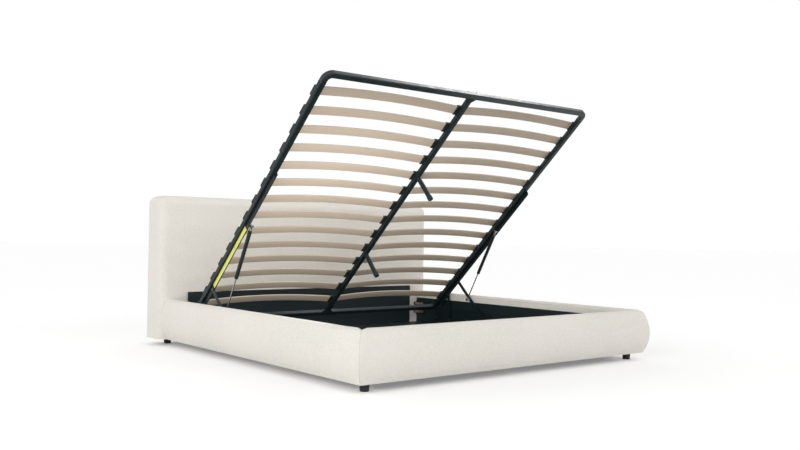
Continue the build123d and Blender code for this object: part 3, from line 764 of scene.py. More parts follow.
@dataclass(frozen=True)
class FineGrit(SharedEffect):
    """Fine pebbled skin of paint or moulded plastic, with slow uneven gloss."""

    name: str = "fine_grit"
    gloss_scale: float = 17.0
    gloss_range: tuple[float, float] = (0.3, 0.7)
    rub_stretch: Point = (9.0, 240.0, 60.0)
    rub_range: tuple[float, float] = (0.62, 0.78)

    def build(self) -> bpy.types.NodeTree:
        """Height is noise at the given scale, Gloss drifts slowly, Marks are rubbed lines.

        Returns:
            The node group.
        """
        graph, entry, leave = new_group(
            self.name,
            {"Vector": "Vector", "Scale": "Float"},
            {"Height": "Float", "Gloss": "Float", "Marks": "Float"},
        )
        place = entry["Vector"]
        grit = graph.add("TexNoise", None, Vector=place, Scale=entry["Scale"], Detail=2.0)
        gloss = graph.add("TexNoise", None, Vector=place, Scale=self.gloss_scale, Detail=4.0)
        graph.feed(gloss.inputs["Roughness"], 0.6)
        stretched = graph.vector("MULTIPLY", place, self.rub_stretch)
        rubs = graph.add("TexNoise", None, Vector=stretched, Scale=1.0, Detail=3.0, Distortion=0.8)
        graph.feed(leave.inputs["Height"], grit.outputs[0])
        graph.feed(leave.inputs["Gloss"], graph.spread(gloss.outputs[0], *self.gloss_range))
        graph.feed(leave.inputs["Marks"], graph.spread(rubs.outputs[0], *self.rub_range))
        return graph.tree


PILE = LoopedPile()
GRAIN = WoodGrain()
GRIT = FineGrit()


@dataclass(frozen=True)
class Finish:
    """Base of all finishes: a name, and a material made at its first use.

    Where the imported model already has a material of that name, its own plain one is
    taken as it is, and the finish isn't painted.
    """

    name: str

    def material(self) -> bpy.types.Material:
        """The finish's material.

        Returns:
            The material.
        """
        found = bpy.data.materials.get(self.name)
        if found is not None:
            return found
        made = bpy.data.materials.new(self.name)
        made.use_nodes = True
        made.node_tree.nodes.clear()
        graph = Graph(made.node_tree)
        shader = graph.add("BsdfPrincipled")
        leave = graph.add("OutputMaterial")
        graph.feed(leave.inputs["Surface"], shader.outputs[0])
        self.paint(graph, shader)
        return made

    def paint(self, graph: Graph, shader: bpy.types.Node) -> None:
        """Feed the shader; each finish has its own way."""
        raise NotImplementedError

    def place(self, graph: Graph) -> bpy.types.NodeSocket:
        """Object coordinates."""
        return graph.add("TexCoord").outputs["Object"]

    def settle(self, shader: bpy.types.Node, **sockets: float) -> None:
        """Set constant inputs of the shader, the spaces in their names as underscores."""
        for key, value in sockets.items():
            shader.inputs[key.replace("_", " ")].default_value = value

    def relief(
        self, graph: Graph, shader: bpy.types.Node, height: bpy.types.NodeSocket, depth: float
    ) -> None:
        """Bump of the given depth in metres."""
        bump = graph.add("Bump", None, Height=height, Distance=depth, Strength=1.0)
        graph.feed(shader.inputs["Normal"], bump.outputs[0])

    def dress(self, *pieces: bpy.types.Object) -> None:
        """Give pieces this finish in all their slots.

        Args:
            pieces: Mesh objects.
        """
        material = self.material()
        for piece in pieces:
            if not piece.data.materials:
                piece.data.materials.append(material)
            for slot in piece.material_slots:
                slot.material = material
            LOG.info("%s: finished in %s", piece.name, self.name)

    def dress_nodes(self, nodes: dict[str, bpy.types.Object], *names: str) -> None:
        """Give the named nodes this finish."""
        self.dress(*(nodes[name] for name in names))


@dataclass(frozen=True)
class LoopedWool(Finish):
    """Cream cloth with a nubby pile of small loops."""

    tip: Colour = shade(236, 233, 226)
    # painted shade: darker colour laid into the hollows between the loops
    hollow_shade: Colour = shade(219, 215, 206)
    haze: Colour = shade(237, 231, 224)
    haze_share: float = 0.35
    loop: float = 4.6 * MM
    depth: float = 0.7 * MM
    roughness: float = 0.95
    specular: float = 0.15
    sheen: float = 0.12
    sheen_roughness: float = 0.6

    def paint(self, graph: Graph, shader: bpy.types.Node) -> None:
        """Loops lighter at their tips, with painted shade darkening the hollows between them, and a
        soft sheen.

        Args:
            graph: Graph of the material.
            shader: Its shader node.
        """
        pile = graph.group(PILE.tree(), Vector=self.place(graph), Scale=1.0 / self.loop)
        # painted shade: the pile's Shade output darkens the hollows towards the hollow colour
        ground = graph.mix(pile.outputs["Shade"], self.hollow_shade, self.tip)
        drift = graph.math("MULTIPLY", pile.outputs["Drift"], self.haze_share)
        graph.feed(shader.inputs["Base Color"], graph.mix(drift, ground, self.haze))
        self.settle(shader, Roughness=self.roughness, Specular_IOR_Level=self.specular)
        self.settle(shader, Sheen_Weight=self.sheen, Sheen_Roughness=self.sheen_roughness)
        self.relief(graph, shader, pile.outputs["Height"], self.depth)


@dataclass(frozen=True)
class FeltCloth(Finish):
    """Dark non-woven cloth."""

    colour: Colour = shade(44, 53, 57)
    fleck: Colour = shade(62, 72, 76)
    grit: float = 900.0
    depth: float = 0.4 * MM
    roughness: float = 0.9
    specular: float = 0.2

    def paint(self, graph: Graph, shader: bpy.types.Node) -> None:
        """Short fibres in all directions.

        Args:
            graph: Graph of the material.
            shader: Its shader node.
        """
        grit = graph.group(GRIT.tree(), Vector=self.place(graph), Scale=self.grit)
        flecked = graph.mix(grit.outputs["Height"], self.colour, self.fleck)
        graph.feed(shader.inputs["Base Color"], flecked)
        self.settle(shader, Roughness=self.roughness, Specular_IOR_Level=self.specular)
        self.relief(graph, shader, grit.outputs["Height"], self.depth)


@dataclass(frozen=True)
class Coat(Finish):
    """Paint or moulded plastic: one colour, a fine skin and uneven gloss."""

    colour: Colour = shade(23, 34, 36)
    rubbed: Colour = shade(44, 56, 58)
    grit: float = 1400.0
    depth: float = 0.08 * MM
    gloss: float = 0.36
    dull: float = 0.5
    specular: float = 0.25
    rub_share: float = 0.35

    def paint(self, graph: Graph, shader: bpy.types.Node) -> None:
        """Rubbed lines lighten the coat a little, and the gloss drifts.

        Args:
            graph: Graph of the material.
            shader: Its shader node.
        """
        skin = graph.group(GRIT.tree(), Vector=self.place(graph), Scale=self.grit)
        marks = graph.math("MULTIPLY", skin.outputs["Marks"], self.rub_share)
        roughness = graph.spread(skin.outputs["Gloss"], 0.0, 1.0, self.gloss, self.dull)
        graph.feed(shader.inputs["Base Color"], graph.mix(marks, self.colour, self.rubbed))
        graph.feed(shader.inputs["Roughness"], roughness)
        self.settle(shader, Specular_IOR_Level=self.specular)
        self.relief(graph, shader, skin.outputs["Height"], self.depth)


class GrainSource(Enum):
    """Where a wood finish takes its grain direction from."""

    BED = "bed"
    SLAT = "slat"


SLAT_SPACE = "slat_space"
ROW_SPAN = 0.25


@dataclass(frozen=True)
class Wood(Finish):
    """Bare or thinly lacquered wood, with glued layers where the grain follows a slat."""

    light: Colour = shade(241, 224, 207)
    dark: Colour = shade(219, 199, 180)
    warm: Colour = shade(252, 228, 212)
    cool: Colour = shade(234, 241, 229)
    source: GrainSource = GrainSource.BED
    gloss: float = 0.5
    specular: float = 0.35
    depth: float = 0.15 * MM
    pore: Colour = shade(150, 124, 102)
    pore_share: float = 0.3
    glue: Colour = shade(158, 130, 106)
    glue_share: float = 0.45
    glue_width_share: float = 0.22
    veneer: float = 1.35 * MM

    def paint(self, graph: Graph, shader: bpy.types.Node) -> None:
        """Long figure and pores; slats differ a little and show their layers on their edges.

        Args:
            graph: Graph of the material.
            shader: Its shader node.
        """
        if self.source is GrainSource.SLAT:
            place = graph.add("Attribute", {"attribute_name": SLAT_SPACE}).outputs["Vector"]
        else:
            place = self.place(graph)
        grain = graph.group(GRAIN.tree(), Vector=place)
        ground = graph.mix(grain.outputs["Figure"], self.light, self.dark)
        if self.source is GrainSource.SLAT:
            ground = self.show_layers(graph, place, ground)
        pores = graph.math("MULTIPLY", grain.outputs["Pores"], self.pore_share)
        graph.feed(shader.inputs["Base Color"], graph.mix(pores, ground, self.pore))
        self.settle(shader, Roughness=self.gloss, Specular_IOR_Level=self.specular)
        self.relief(graph, shader, grain.outputs["Height"], self.depth)

    def show_layers(
        self, graph: Graph, place: bpy.types.NodeSocket, ground: bpy.types.NodeSocket
    ) -> bpy.types.NodeSocket:
        """Thin veneers with darker glue lines across the thickness, one tint for each slat.

        Args:
            graph: Graph of the material.
            place: Place on the slat.
            ground: Colour of the wood.

        Returns:
            Colour with layers and tint.
        """
        parts = graph.add("SeparateXYZ", None, Vector=place)
        layer = graph.math("FRACT", graph.math("MULTIPLY", parts.outputs[2], 1.0 / self.veneer))
        glue = graph.math("LESS_THAN", layer, self.glue_width_share)
        row = graph.math("FLOOR", graph.math("MULTIPLY", parts.outputs[1], 1.0 / ROW_SPAN))
        tint = graph.add("TexWhiteNoise", {"noise_dimensions": "1D"}, W=row)
        cast = graph.mix(tint.outputs["Value"], self.warm, self.cool)
        tinted = graph.mix(1.0, ground, cast, "MULTIPLY")
        return graph.mix(graph.math("MULTIPLY", glue, self.glue_share), tinted, self.glue)


@dataclass(frozen=True)
class Metal(Finish):
    """Bare or plated metal with fine turning marks."""

    colour: Colour = shade(120, 122, 124)
    gloss: float = 0.35
    dull: float = 0.5
    line: Colour = shade(96, 96, 96)
    grit: float = 800.0
    depth: float = 0.02 * MM

    def paint(self, graph: Graph, shader: bpy.types.Node) -> None:
        """Full metal whose gloss drifts, with faint handling lines.

        Args:
            graph: Graph of the material.
            shader: Its shader node.
        """
        skin = graph.group(GRIT.tree(), Vector=self.place(graph), Scale=self.grit)
        roughness = graph.spread(skin.outputs["Gloss"], 0.0, 1.0, self.gloss, self.dull)
        lined = graph.mix(skin.outputs["Marks"], self.colour, self.line)
        graph.feed(shader.inputs["Base Color"], lined)
        graph.feed(shader.inputs["Roughness"], roughness)
        self.settle(shader, Metallic=1.0)
        self.relief(graph, shader, skin.outputs["Height"], self.depth)


@dataclass(frozen=True)
class MarkerFilm(Finish):
    """Plain yellow film with faint slanting ribs."""

    colour: Colour = shade(222, 222, 60)
    rib: Colour = shade(240, 241, 178)
    pitch: float = 16.0 * MM
    slant: float = 0.2
    rib_range: tuple[float, float] = (0.14, 0.22)
    grit: float = 500.0
    gloss: float = 0.3
    dull: float = 0.42
    depth: float = 0.05 * MM

    def paint(self, graph: Graph, shader: bpy.types.Node) -> None:
        """Ribs are soft lines where (y + slant * z) / pitch is near a whole number.

        Args:
            graph: Graph of the material.
            shader: Its shader node.
        """
        parts = graph.add("SeparateXYZ", None, Vector=self.place(graph))
        raised = graph.math("MULTIPLY", parts.outputs[2], self.slant)
        along = graph.math("ADD", parts.outputs[1], raised)
        wave = graph.math("PINGPONG", graph.math("MULTIPLY", along, 1.0 / self.pitch), 0.5)
        ribs = graph.spread(wave, *self.rib_range)
        skin = graph.group(GRIT.tree(), Vector=self.place(graph), Scale=self.grit)
        roughness = graph.spread(skin.outputs["Gloss"], 0.0, 1.0, self.gloss, self.dull)
        graph.feed(shader.inputs["Base Color"], graph.mix(ribs, self.rib, self.colour))
        graph.feed(shader.inputs["Roughness"], roughness)
        self.relief(graph, shader, ribs, self.depth)


@dataclass(frozen=True)
class BedFinishes:
    """All finishes of the bed.

    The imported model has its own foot_plastic, strut_paint, slat_wood and frame_wood, so
    its plain materials are what those four show.
    """

    wool: LoopedWool = LoopedWool("cream_looped_wool")
    thread: Coat = Coat(
        "seam_thread",
        colour=shade(172, 164, 148),
        rubbed=shade(190, 183, 168),
        grit=3000.0,
        depth=0.1 * MM,
        gloss=0.7,
        dull=0.85,
        specular=0.2,
    )
    felt: FeltCloth = FeltCloth("dark_felt")
    frame_paint: Coat = Coat("frame_powder_coat")
    glossy_paint: Coat = Coat("glossy_powder_coat", gloss=0.28, dull=0.42, specular=0.5)
    board: Coat = Coat(
        "dark_board_film",
        colour=shade(27, 38, 41),
        rubbed=shade(42, 53, 56),
        grit=420.0,
        depth=0.2 * MM,
        gloss=0.4,
        dull=0.55,
        specular=0.3,
    )
    rubber: Coat = Coat(
        "holder_rubber",
        colour=shade(24, 33, 35),
        rubbed=shade(38, 47, 50),
        grit=700.0,
        depth=0.2 * MM,
        gloss=0.45,
        dull=0.6,
        specular=0.3,
    )
    foot_plastic: Coat = Coat(
        "foot_plastic",
        colour=shade(28, 34, 42),
        rubbed=shade(46, 52, 60),
        grit=2000.0,
        depth=0.05 * MM,
        gloss=0.28,
        dull=0.4,
        specular=0.45,
    )
    strut_paint: Coat = Coat(
        "strut_paint",
        colour=shade(15, 20, 22),
        rubbed=shade(34, 40, 42),
        grit=2500.0,
        depth=0.03 * MM,
        gloss=0.3,
        dull=0.42,
        specular=0.35,
    )
    slat_wood: Wood = Wood("slat_wood", source=GrainSource.SLAT)
    frame_wood: Wood = Wood(
        "frame_wood", light=shade(206, 180, 142), dark=shade(172, 141, 103), gloss=0.75
    )
    steel: Metal = Metal("dull_steel", shade(98, 102, 106), gloss=0.42, dull=0.56)
    chrome: Metal = Metal("rod_chrome", shade(168, 171, 174), gloss=0.16, dull=0.26)
    copper: Metal = Metal("copper_sleeve", shade(206, 132, 104), gloss=0.28, dull=0.42)
    marker: MarkerFilm = MarkerFilm("yellow_marker")


# Padded covers


@dataclass
class RailSection:
    """Outline of the padded rail: reach outward from the opening, and height."""

    lines: BedLines = LINES
    steps: int = 40
    slack: float = 3.0 * MM
    notch_low: float = -2.5 * MM
    notch_high: float = 8.5 * MM
    slack_shares: tuple[float, float, float] = (0.12, 0.72, 0.88)
    crown_shares: tuple[float, float, float] = (0.8, 1.0, 1.1)
    notch_shares: tuple[float, float, float] = (0.12, 0.86, 0.97)

    def outer(self) -> np.ndarray:
        """Fabric side, from the outer bottom edge over the crown to the liner.

        Four arcs meet smoothly: the lower and upper bulge, the shoulder and the inner
        roll. A straight fall to the liner's top edge ends it.

        Returns:
            Array of (steps, 2) points, evenly spaced.
        """
        bed = self.lines
        shoulder, inset = bed.shoulder_radius, bed.crown_inset
        rise_low = bed.bulge_z - bed.rail_bottom
        bulge = bed.rail_reach - bed.rail_depth
        low_radius = (rise_low**2 + bulge**2) / (2 * bulge)
        crown_level = bed.crown_z - shoulder
        step_out = bed.rail_reach - inset
        rise = crown_level - bed.bulge_z
        top_radius = (step_out**2 + rise**2 - shoulder**2) / (2 * (step_out - shoulder))
        lean = math.atan2(rise, inset - bed.rail_reach + top_radius)
        low_start = -math.asin(rise_low / low_radius)
        parts = [
            arc((bed.rail_reach - low_radius, bed.bulge_z), low_radius, low_start, 0.0),
            arc((bed.rail_reach - top_radius, bed.bulge_z), top_radius, 0.0, lean)[1:],
            arc((inset, crown_level), shoulder, lean, math.pi / 2)[1:],
            arc((inset, bed.crown_z - inset), inset, math.pi / 2, math.pi)[1:],
            np.array([[0.0, bed.liner_top]]),
        ]
        return resample(np.concatenate(parts), self.steps)

    def inward(self) -> np.ndarray:
        """Unit normals of the fabric side that point into the foam."""
        along = unit(np.gradient(self.outer(), axis=0))
        return np.stack([-along[:, 1], along[:, 0]], axis=-1)

    def window(self, rise: float, fall_start: float, fall_end: float) -> np.ndarray:
        """Shares of 0 to 1 along the fabric side: a smooth step up, and another down.

        Args:
            rise: Share of the line where the step up ends; it begins with the line.
            fall_start: Share of the line where the step down begins.
            fall_end: Share of the line where it ends.

        Returns:
            One share for each point of the fabric side.
        """
        share = np.linspace(0.0, 1.0, self.steps)
        down = (fall_end - share) / (fall_end - fall_start)
        return smooth_step(share / rise) * smooth_step(down)

    def slack_way(self) -> np.ndarray:
        """Movement of each point where the cover hangs loose over its foam."""
        return self.inward() * (self.slack * self.window(*self.slack_shares))[:, None]

    def notch_way(self) -> np.ndarray:
        """Movement of each point where a mitre seam draws the cover in.

        The seam stands out a little on the bulge and is drawn in over the shoulder and
        at the crown.

        Returns:
            Array of (steps, 2).
        """
        crown = self.window(*self.crown_shares)
        depth = self.notch_low + (self.notch_high - self.notch_low) * crown
        return self.inward() * (depth * self.window(*self.notch_shares))[:, None]

    def seam(self) -> np.ndarray:
        """The fabric side where it is drawn in by the mitre seam."""
        return self.outer() + self.slack_way() + self.notch_way()

    def inner(self) -> np.ndarray:
        """Board side: up the board, over its top and down the liner.

        Returns:
            Array of (steps, 2) points, evenly spaced.
        """
        bed = self.lines
        corners = [
            (bed.board_face, bed.rail_bottom),
            (bed.board_face, bed.board_top),
            (bed.liner_thickness, bed.board_top),
            (bed.liner_thickness, bed.liner_top),
        ]
        return resample(np.array(corners), self.steps)


class RailPlace(Enum):
    """Which rail a cover is for: the cover's name, and the node that it stands for."""

    RIGHT = ("side_cover_right", "side_rail_upholstery_right")
    LEFT = ("side_cover_left", "side_rail_upholstery_left")
    FOOT = ("foot_cover", "foot_rail_upholstery")


@dataclass
class PaddedRail:
    """Cover of one rail, mitred at the foot corners."""

    place: RailPlace
    finishes: BedFinishes
    section: RailSection = field(default_factory=RailSection)
    step: float = 15.0 * MM
    seam_zone: float = 45.0 * MM
    seam_steps: int = 7
    tuck: float = 30.0 * MM
    notch_width: float = 18.0 * MM
    hem_share: float = 0.1
    inflation: Inflation = Inflation(cap=5.0 * MM)

    def rings(self, seam: np.ndarray, far: np.ndarray) -> np.ndarray:
        """Closed outlines: fabric side up and over, then back down the board side.

        The fabric moves by slack * step + notch * exp(-(d / width)^2), d being the
        distance from the nearest mitre and step rising smoothly from the head end.

        Args:
            seam: Distance of each slice from the nearest mitre.
            far: Distance of each slice from the head end.

        Returns:
            Array of (slices, outline points, 2).
        """
        part = self.section
        step = smooth_step(far / self.seam_zone)[:, None, None]
        pinch = np.exp(-((seam / self.notch_width) ** 2))[:, None, None]
        fabric = part.outer() + part.slack_way() * step + part.notch_way() * pinch
        board = np.broadcast_to(part.inner()[::-1], fabric.shape)
        return np.concatenate([fabric, board], axis=1)

    def ends(self, reach: np.ndarray) -> tuple[np.ndarray, np.ndarray]:
        """Both ends of the rail for each outward reach.

        A mitred end lies at minus the reach from the corner. The head end follows the
        headboard's rounded edge: r - sqrt(r^2 - d^2) behind its front, d being how far
        the point lies past the start of the rounding, and never more than the tuck.

        Args:
            reach: Outward reach of the outline's points.

        Returns:
            Start and end along the rail, in the bed's frame.
        """
        bed = LINES
        if self.place is RailPlace.FOOT:
            return -bed.inner_x - reach, bed.inner_x + reach
        edge = bed.headboard_edge_radius
        past = np.maximum(0.0, bed.inner_x + reach - (bed.headboard_half - edge))
        behind = edge - np.sqrt(np.maximum(0.0, edge**2 - past**2))
        return bed.foot_y - reach, bed.head_y + np.minimum(behind, self.tuck)

    def points(self) -> np.ndarray:
        """Set the outlines between the rail's ends.

        Returns:
            Array of (slices, outline points, 3).
        """
        bed = LINES
        at_foot = self.place is RailPlace.FOOT
        start, end = self.ends(np.array([bed.rail_depth]))
        run = eased(0.0, float(end[0] - start[0]), self.seam_zone, self.seam_steps, self.step)
        seam = np.minimum(run, run[-1] - run) if at_foot else run
        far = np.full_like(run, np.inf) if at_foot else run[-1] - run
        outline = self.rings(seam, far)
        reach, level = outline[..., 0], outline[..., 1]
        start, end = self.ends(reach)
        travel = start + (end - start) * (run / run[-1])[:, None]
        if at_foot:
            return np.stack([travel, bed.foot_y - reach, level], axis=-1)
        side = 1.0 if self.place is RailPlace.RIGHT else -1.0
        return np.stack([side * (bed.inner_x + reach), travel, level], axis=-1)

    def caps(self, slices: int, count: int) -> np.ndarray:
        """Quads that close both ends, each between the fabric side and the board side.

        Args:
            slices: Number of outlines along the rail.
            count: Number of points in each outline.

        Returns:
            Array of (n, 4) point numbers.
        """
        low = np.arange(count // 2 - 1)
        cap = np.stack([low, low + 1, count - 2 - low, count - 1 - low], axis=-1)
        return np.concatenate([cap, cap + (slices - 1) * count])

    def freedom(self, slices: int, count: int) -> np.ndarray:
        """How loose each point is: 0 on the board side, at both ends and at the hems.

        Along the fabric side it is the smooth step of the distance from its nearest
        hem, over the hem's share of the line. The first and last slices are sewn.

        Args:
            slices: Number of outlines along the rail.
            count: Number of points in each outline.

        Returns:
            Freedom of each point, slice by slice.
        """
        share = np.linspace(0.0, 1.0, count // 2)
        fabric = smooth_step(np.minimum(share, 1.0 - share) / self.hem_share)
        free = np.concatenate([fabric, np.zeros(count // 2)])
        sewn = np.ones(slices)
        sewn[[0, -1]] = 0.0
        return (sewn[:, None] * free).ravel()

    def build(self) -> bpy.types.Object:
        """Make, inflate and dress the cover.

        Returns:
            The cover.
        """
        points = self.points()
        slices, count = points.shape[:2]
        skin = grid_quads(slices, count, wrap_columns=True)
        quads = np.concatenate([skin, self.caps(slices, count)])
        name, node = self.place.value
        piece = make_piece(name, points.reshape(-1, 3), quads, SHARP_CLOTH)
        self.inflation.run(piece, self.freedom(slices, count))
        subdivide(piece)
        self.finishes.wool.dress(piece)
        return place_piece(piece, "bed_base", "boucle", node)


@dataclass
class CornerStitches:
    """Short thread stitches down the mitre seam of both foot corners."""

    finishes: BedFinishes
    section: RailSection = field(default_factory=RailSection)
    pitch: float = 8.0 * MM
    length: float = 5.0 * MM
    radius: float = 0.9 * MM
    lift: float = 0.6 * MM
    sides: int = 6
    rings: int = 6
    tip_share: float = 0.08
    base_skip: int = 1
    hem_skip: int = 4

    def build(self) -> bpy.types.Object:
        """One small spindle for each stitch, along the fabric side of the seam.

        A stitch is a many-sided ring carried along the seam's direction, its radius
        being the thread's times sin(pi * share), so that both ends dive into the cloth.

        Returns:
            The stitches, as one piece.
        """
        line = self.section.seam()[self.base_skip : -self.hem_skip]
        reach, level = line.T
        path = np.stack([LINES.inner_x + reach, LINES.foot_y - reach, level], axis=-1)
        total = float(np.linalg.norm(np.diff(path, axis=0), axis=1).sum())
        middles = resample(path, round(total / self.pitch))
        heading = unit(np.gradient(middles, axis=0))
        side = unit(np.cross(heading, np.array([1.0, -1.0, 0.0]) / math.sqrt(2)))
        normal = np.cross(side, heading)
        share = np.linspace(self.tip_share, 1.0 - self.tip_share, self.rings)
        girth = self.radius * np.sin(math.pi * share)[:, None]
        cosine, sine = circle(self.sides)
        around = (cosine[None] * girth)[None, ..., None] * side[:, None, None]
        around = around + (sine[None] * girth)[None, ..., None] * normal[:, None, None]
        run = ((share - 0.5) * self.length)[None, :, None, None] * heading[:, None, None]
        lift = self.lift * normal[:, None, None]
        right = middles[:, None, None] + around + run + lift
        both = np.concatenate([right, right * np.array([-1.0, 1.0, 1.0])])
        piece = make_piece("corner_stitches", *closed_sweep(both))
        self.finishes.thread.dress(piece)
        return place_piece(piece, "bed_base", "boucle")


@dataclass
class PaddedHeadboard:
    """Thick padded headboard with soft rounded edges and an open, stapled foot."""

    finishes: BedFinishes
    step: float = 20.0 * MM
    slack: float = 3.0 * MM
    side_slack: float = 8.0 * MM
    front_swell: float = 6.0 * MM
    hem: float = 1.7 * MM
    hem_zone: float = 90.0 * MM
    hem_steps: int = 3
    edge_steps: int = 5
    inflation: Inflation = Inflation(cap=5.0 * MM)

    def shell(self) -> tuple[np.ndarray, np.ndarray]:
        """Box with its upper, front, back and side edges rounded.

        A point's offset from the inner core box is scaled by its largest part over its
        length, which turns the square rim into a round one. The core's own bottom is
        the bottom of the cover, so the lower edge stays square.

        Returns:
            Points (n, 3) and quads (m, 4).
        """
        bed = LINES
        radius = bed.headboard_edge_radius
        half = bed.headboard_half - self.side_slack
        low = np.array([-half, bed.head_y - self.front_swell, bed.rail_bottom + self.hem])
        high = np.array([half, bed.back_y - self.slack, bed.headboard_top - self.slack])
        places = [eased(*ends, radius, self.edge_steps, self.step) for ends in zip(low, high)]
        hem = np.linspace(low[2], low[2] + radius, self.hem_steps + 1)[:-1]
        places[2] = np.concatenate([hem, places[2][places[2] > low[2] + radius]])
        points, quads = box_shell(places)
        core_low = low + np.array([radius, radius, 0.0])
        offset = points - np.clip(points, core_low, high - radius)
        largest = np.abs(offset).max(axis=1, keepdims=True)
        length = np.linalg.norm(offset, axis=1, keepdims=True)
        return points - offset + offset * largest / np.maximum(length, TINY), quads

    def build(self) -> bpy.types.Object:
        """Make, inflate and dress the headboard's cover.

        Returns:
            The cover.
        """
        piece = make_piece("headboard_cover", *self.shell(), SHARP_CLOTH)
        height = coordinates(piece.data)[:, 2] - LINES.rail_bottom - self.hem
        self.inflation.run(piece, smooth_step(height / self.hem_zone))
        subdivide(piece)
        self.finishes.wool.dress(piece)
        return place_piece(piece, "bed_base", "boucle", "headboard_upholstery")


# Platform


@dataclass
class Slats:
    """Two columns of bowed, layered slats."""

    finishes: BedFinishes
    rows: int = 14
    first: float = 139.0 * MM
    last_margin: float = 141.8 * MM
    width: float = 55.0 * MM
    thickness: float = 8.0 * MM
    bow: float = 28.0 * MM
    seat: float = 0.8 * MM
    start: float = 12.0 * MM
    end: float = 952.0 * MM
    edge: float = 2.4 * MM
    edge_points: int = 4
    slices: int = 36
    side_shift: float = 3.0
    side_rows_shift: float = 8.0

    @property
    def half(self) -> float:
        """Half the length of a slat."""
        return (self.end - self.start) / 2

    def rise(self, travel: np.ndarray) -> np.ndarray:
        """Rise along a slat, that of a circle through both ends and the bow's top.

        It is bow - R + sqrt(R^2 - t^2), t being the distance from the slat's middle.
        """
        radius = (self.half**2 + self.bow**2) / (2 * self.bow)
        return self.bow - radius + np.sqrt(np.maximum(radius**2 - travel**2, 0.0))

    def profile(self) -> np.ndarray:
        """Rounded rectangle across a slat: width by thickness, four quarter arcs.

        Returns:
            Array of (n, 2): across the slat, and up.
        """
        across, up = self.width / 2 - self.edge, self.thickness / 2 - self.edge
        corners = ((across, up, 0.0), (-across, up, 0.5), (-across, -up, 1.0), (across, -up, 1.5))
        arcs = [
            arc((x, z), self.edge, turn * math.pi, (turn + 0.5) * math.pi, self.edge_points)
            for x, z, turn in corners
        ]
        return np.concatenate(arcs)

    def column(self, side: float) -> np.ndarray:
        """Rings of all slats of one column, in the flat platform frame.

        Each slat is its profile carried along its length, lifted by the rise.

        Args:
            side: 1 for the right column, -1 for the left.

        Returns:
            Array of (rows, slices, ring points, 3).
        """
        travel = np.linspace(-self.half, self.half, self.slices)
        profile = self.profile()
        places = np.linspace(self.first, LINES.platform_length - self.last_margin, self.rows)
        base = LINES.half_tube + self.seat + self.thickness / 2
        x = (side * (self.start + self.half + travel))[None, :, None]
        y = -places[:, None, None] + profile[None, None, :, 0]
        z = base + self.rise(travel)[None, :, None] + profile[None, None, :, 1]
        return np.stack(np.broadcast_arrays(x, y, z), axis=-1)

    def space(self, piece: bpy.types.Object, side: float) -> None:
        """Keep each vertex's place on its own slat, for the wood's grain and layers.

        The three parts are the place along the slat, the place across it from the
        middle of its row's own span, and the height over its underside. Each side's
        slats are shifted too, so that no two have the same grain.

        Args:
            piece: The column's mesh object.
            side: 1 for the right column, -1 for the left.
        """
        x, across, up = LINES.lower_platform(coordinates(piece.data)).T
        travel = side * x - self.start - self.half
        pitch = (LINES.platform_length - self.last_margin - self.first) / (self.rows - 1)
        row = np.rint((-across - self.first) / pitch)
        on_slat = across + self.first + row * pitch
        along = travel + self.side_shift * side
        spread = on_slat + ROW_SPAN * row + ROW_SPAN / 2 + self.side_rows_shift * (1 + side)
        depth = up - LINES.half_tube - self.seat - self.rise(travel)
        fields = np.stack([along, spread, depth], axis=-1)
        layer = piece.data.attributes.new(SLAT_SPACE, "FLOAT_VECTOR", "POINT")
        layer.data.foreach_set("vector", fields.astype(np.float32).ravel())

    def build(self) -> None:
        """Make both columns."""
        for name, side in (("right", 1.0), ("left", -1.0)):
            rings = LINES.raise_platform(self.column(side))
            piece = make_piece(f"layered_slats_{name}", *closed_sweep(rings))
            self.space(piece, side)
            self.finishes.slat_wood.dress(piece)
            place_piece(piece, "platform", "slat_wood", f"slats_{name}")


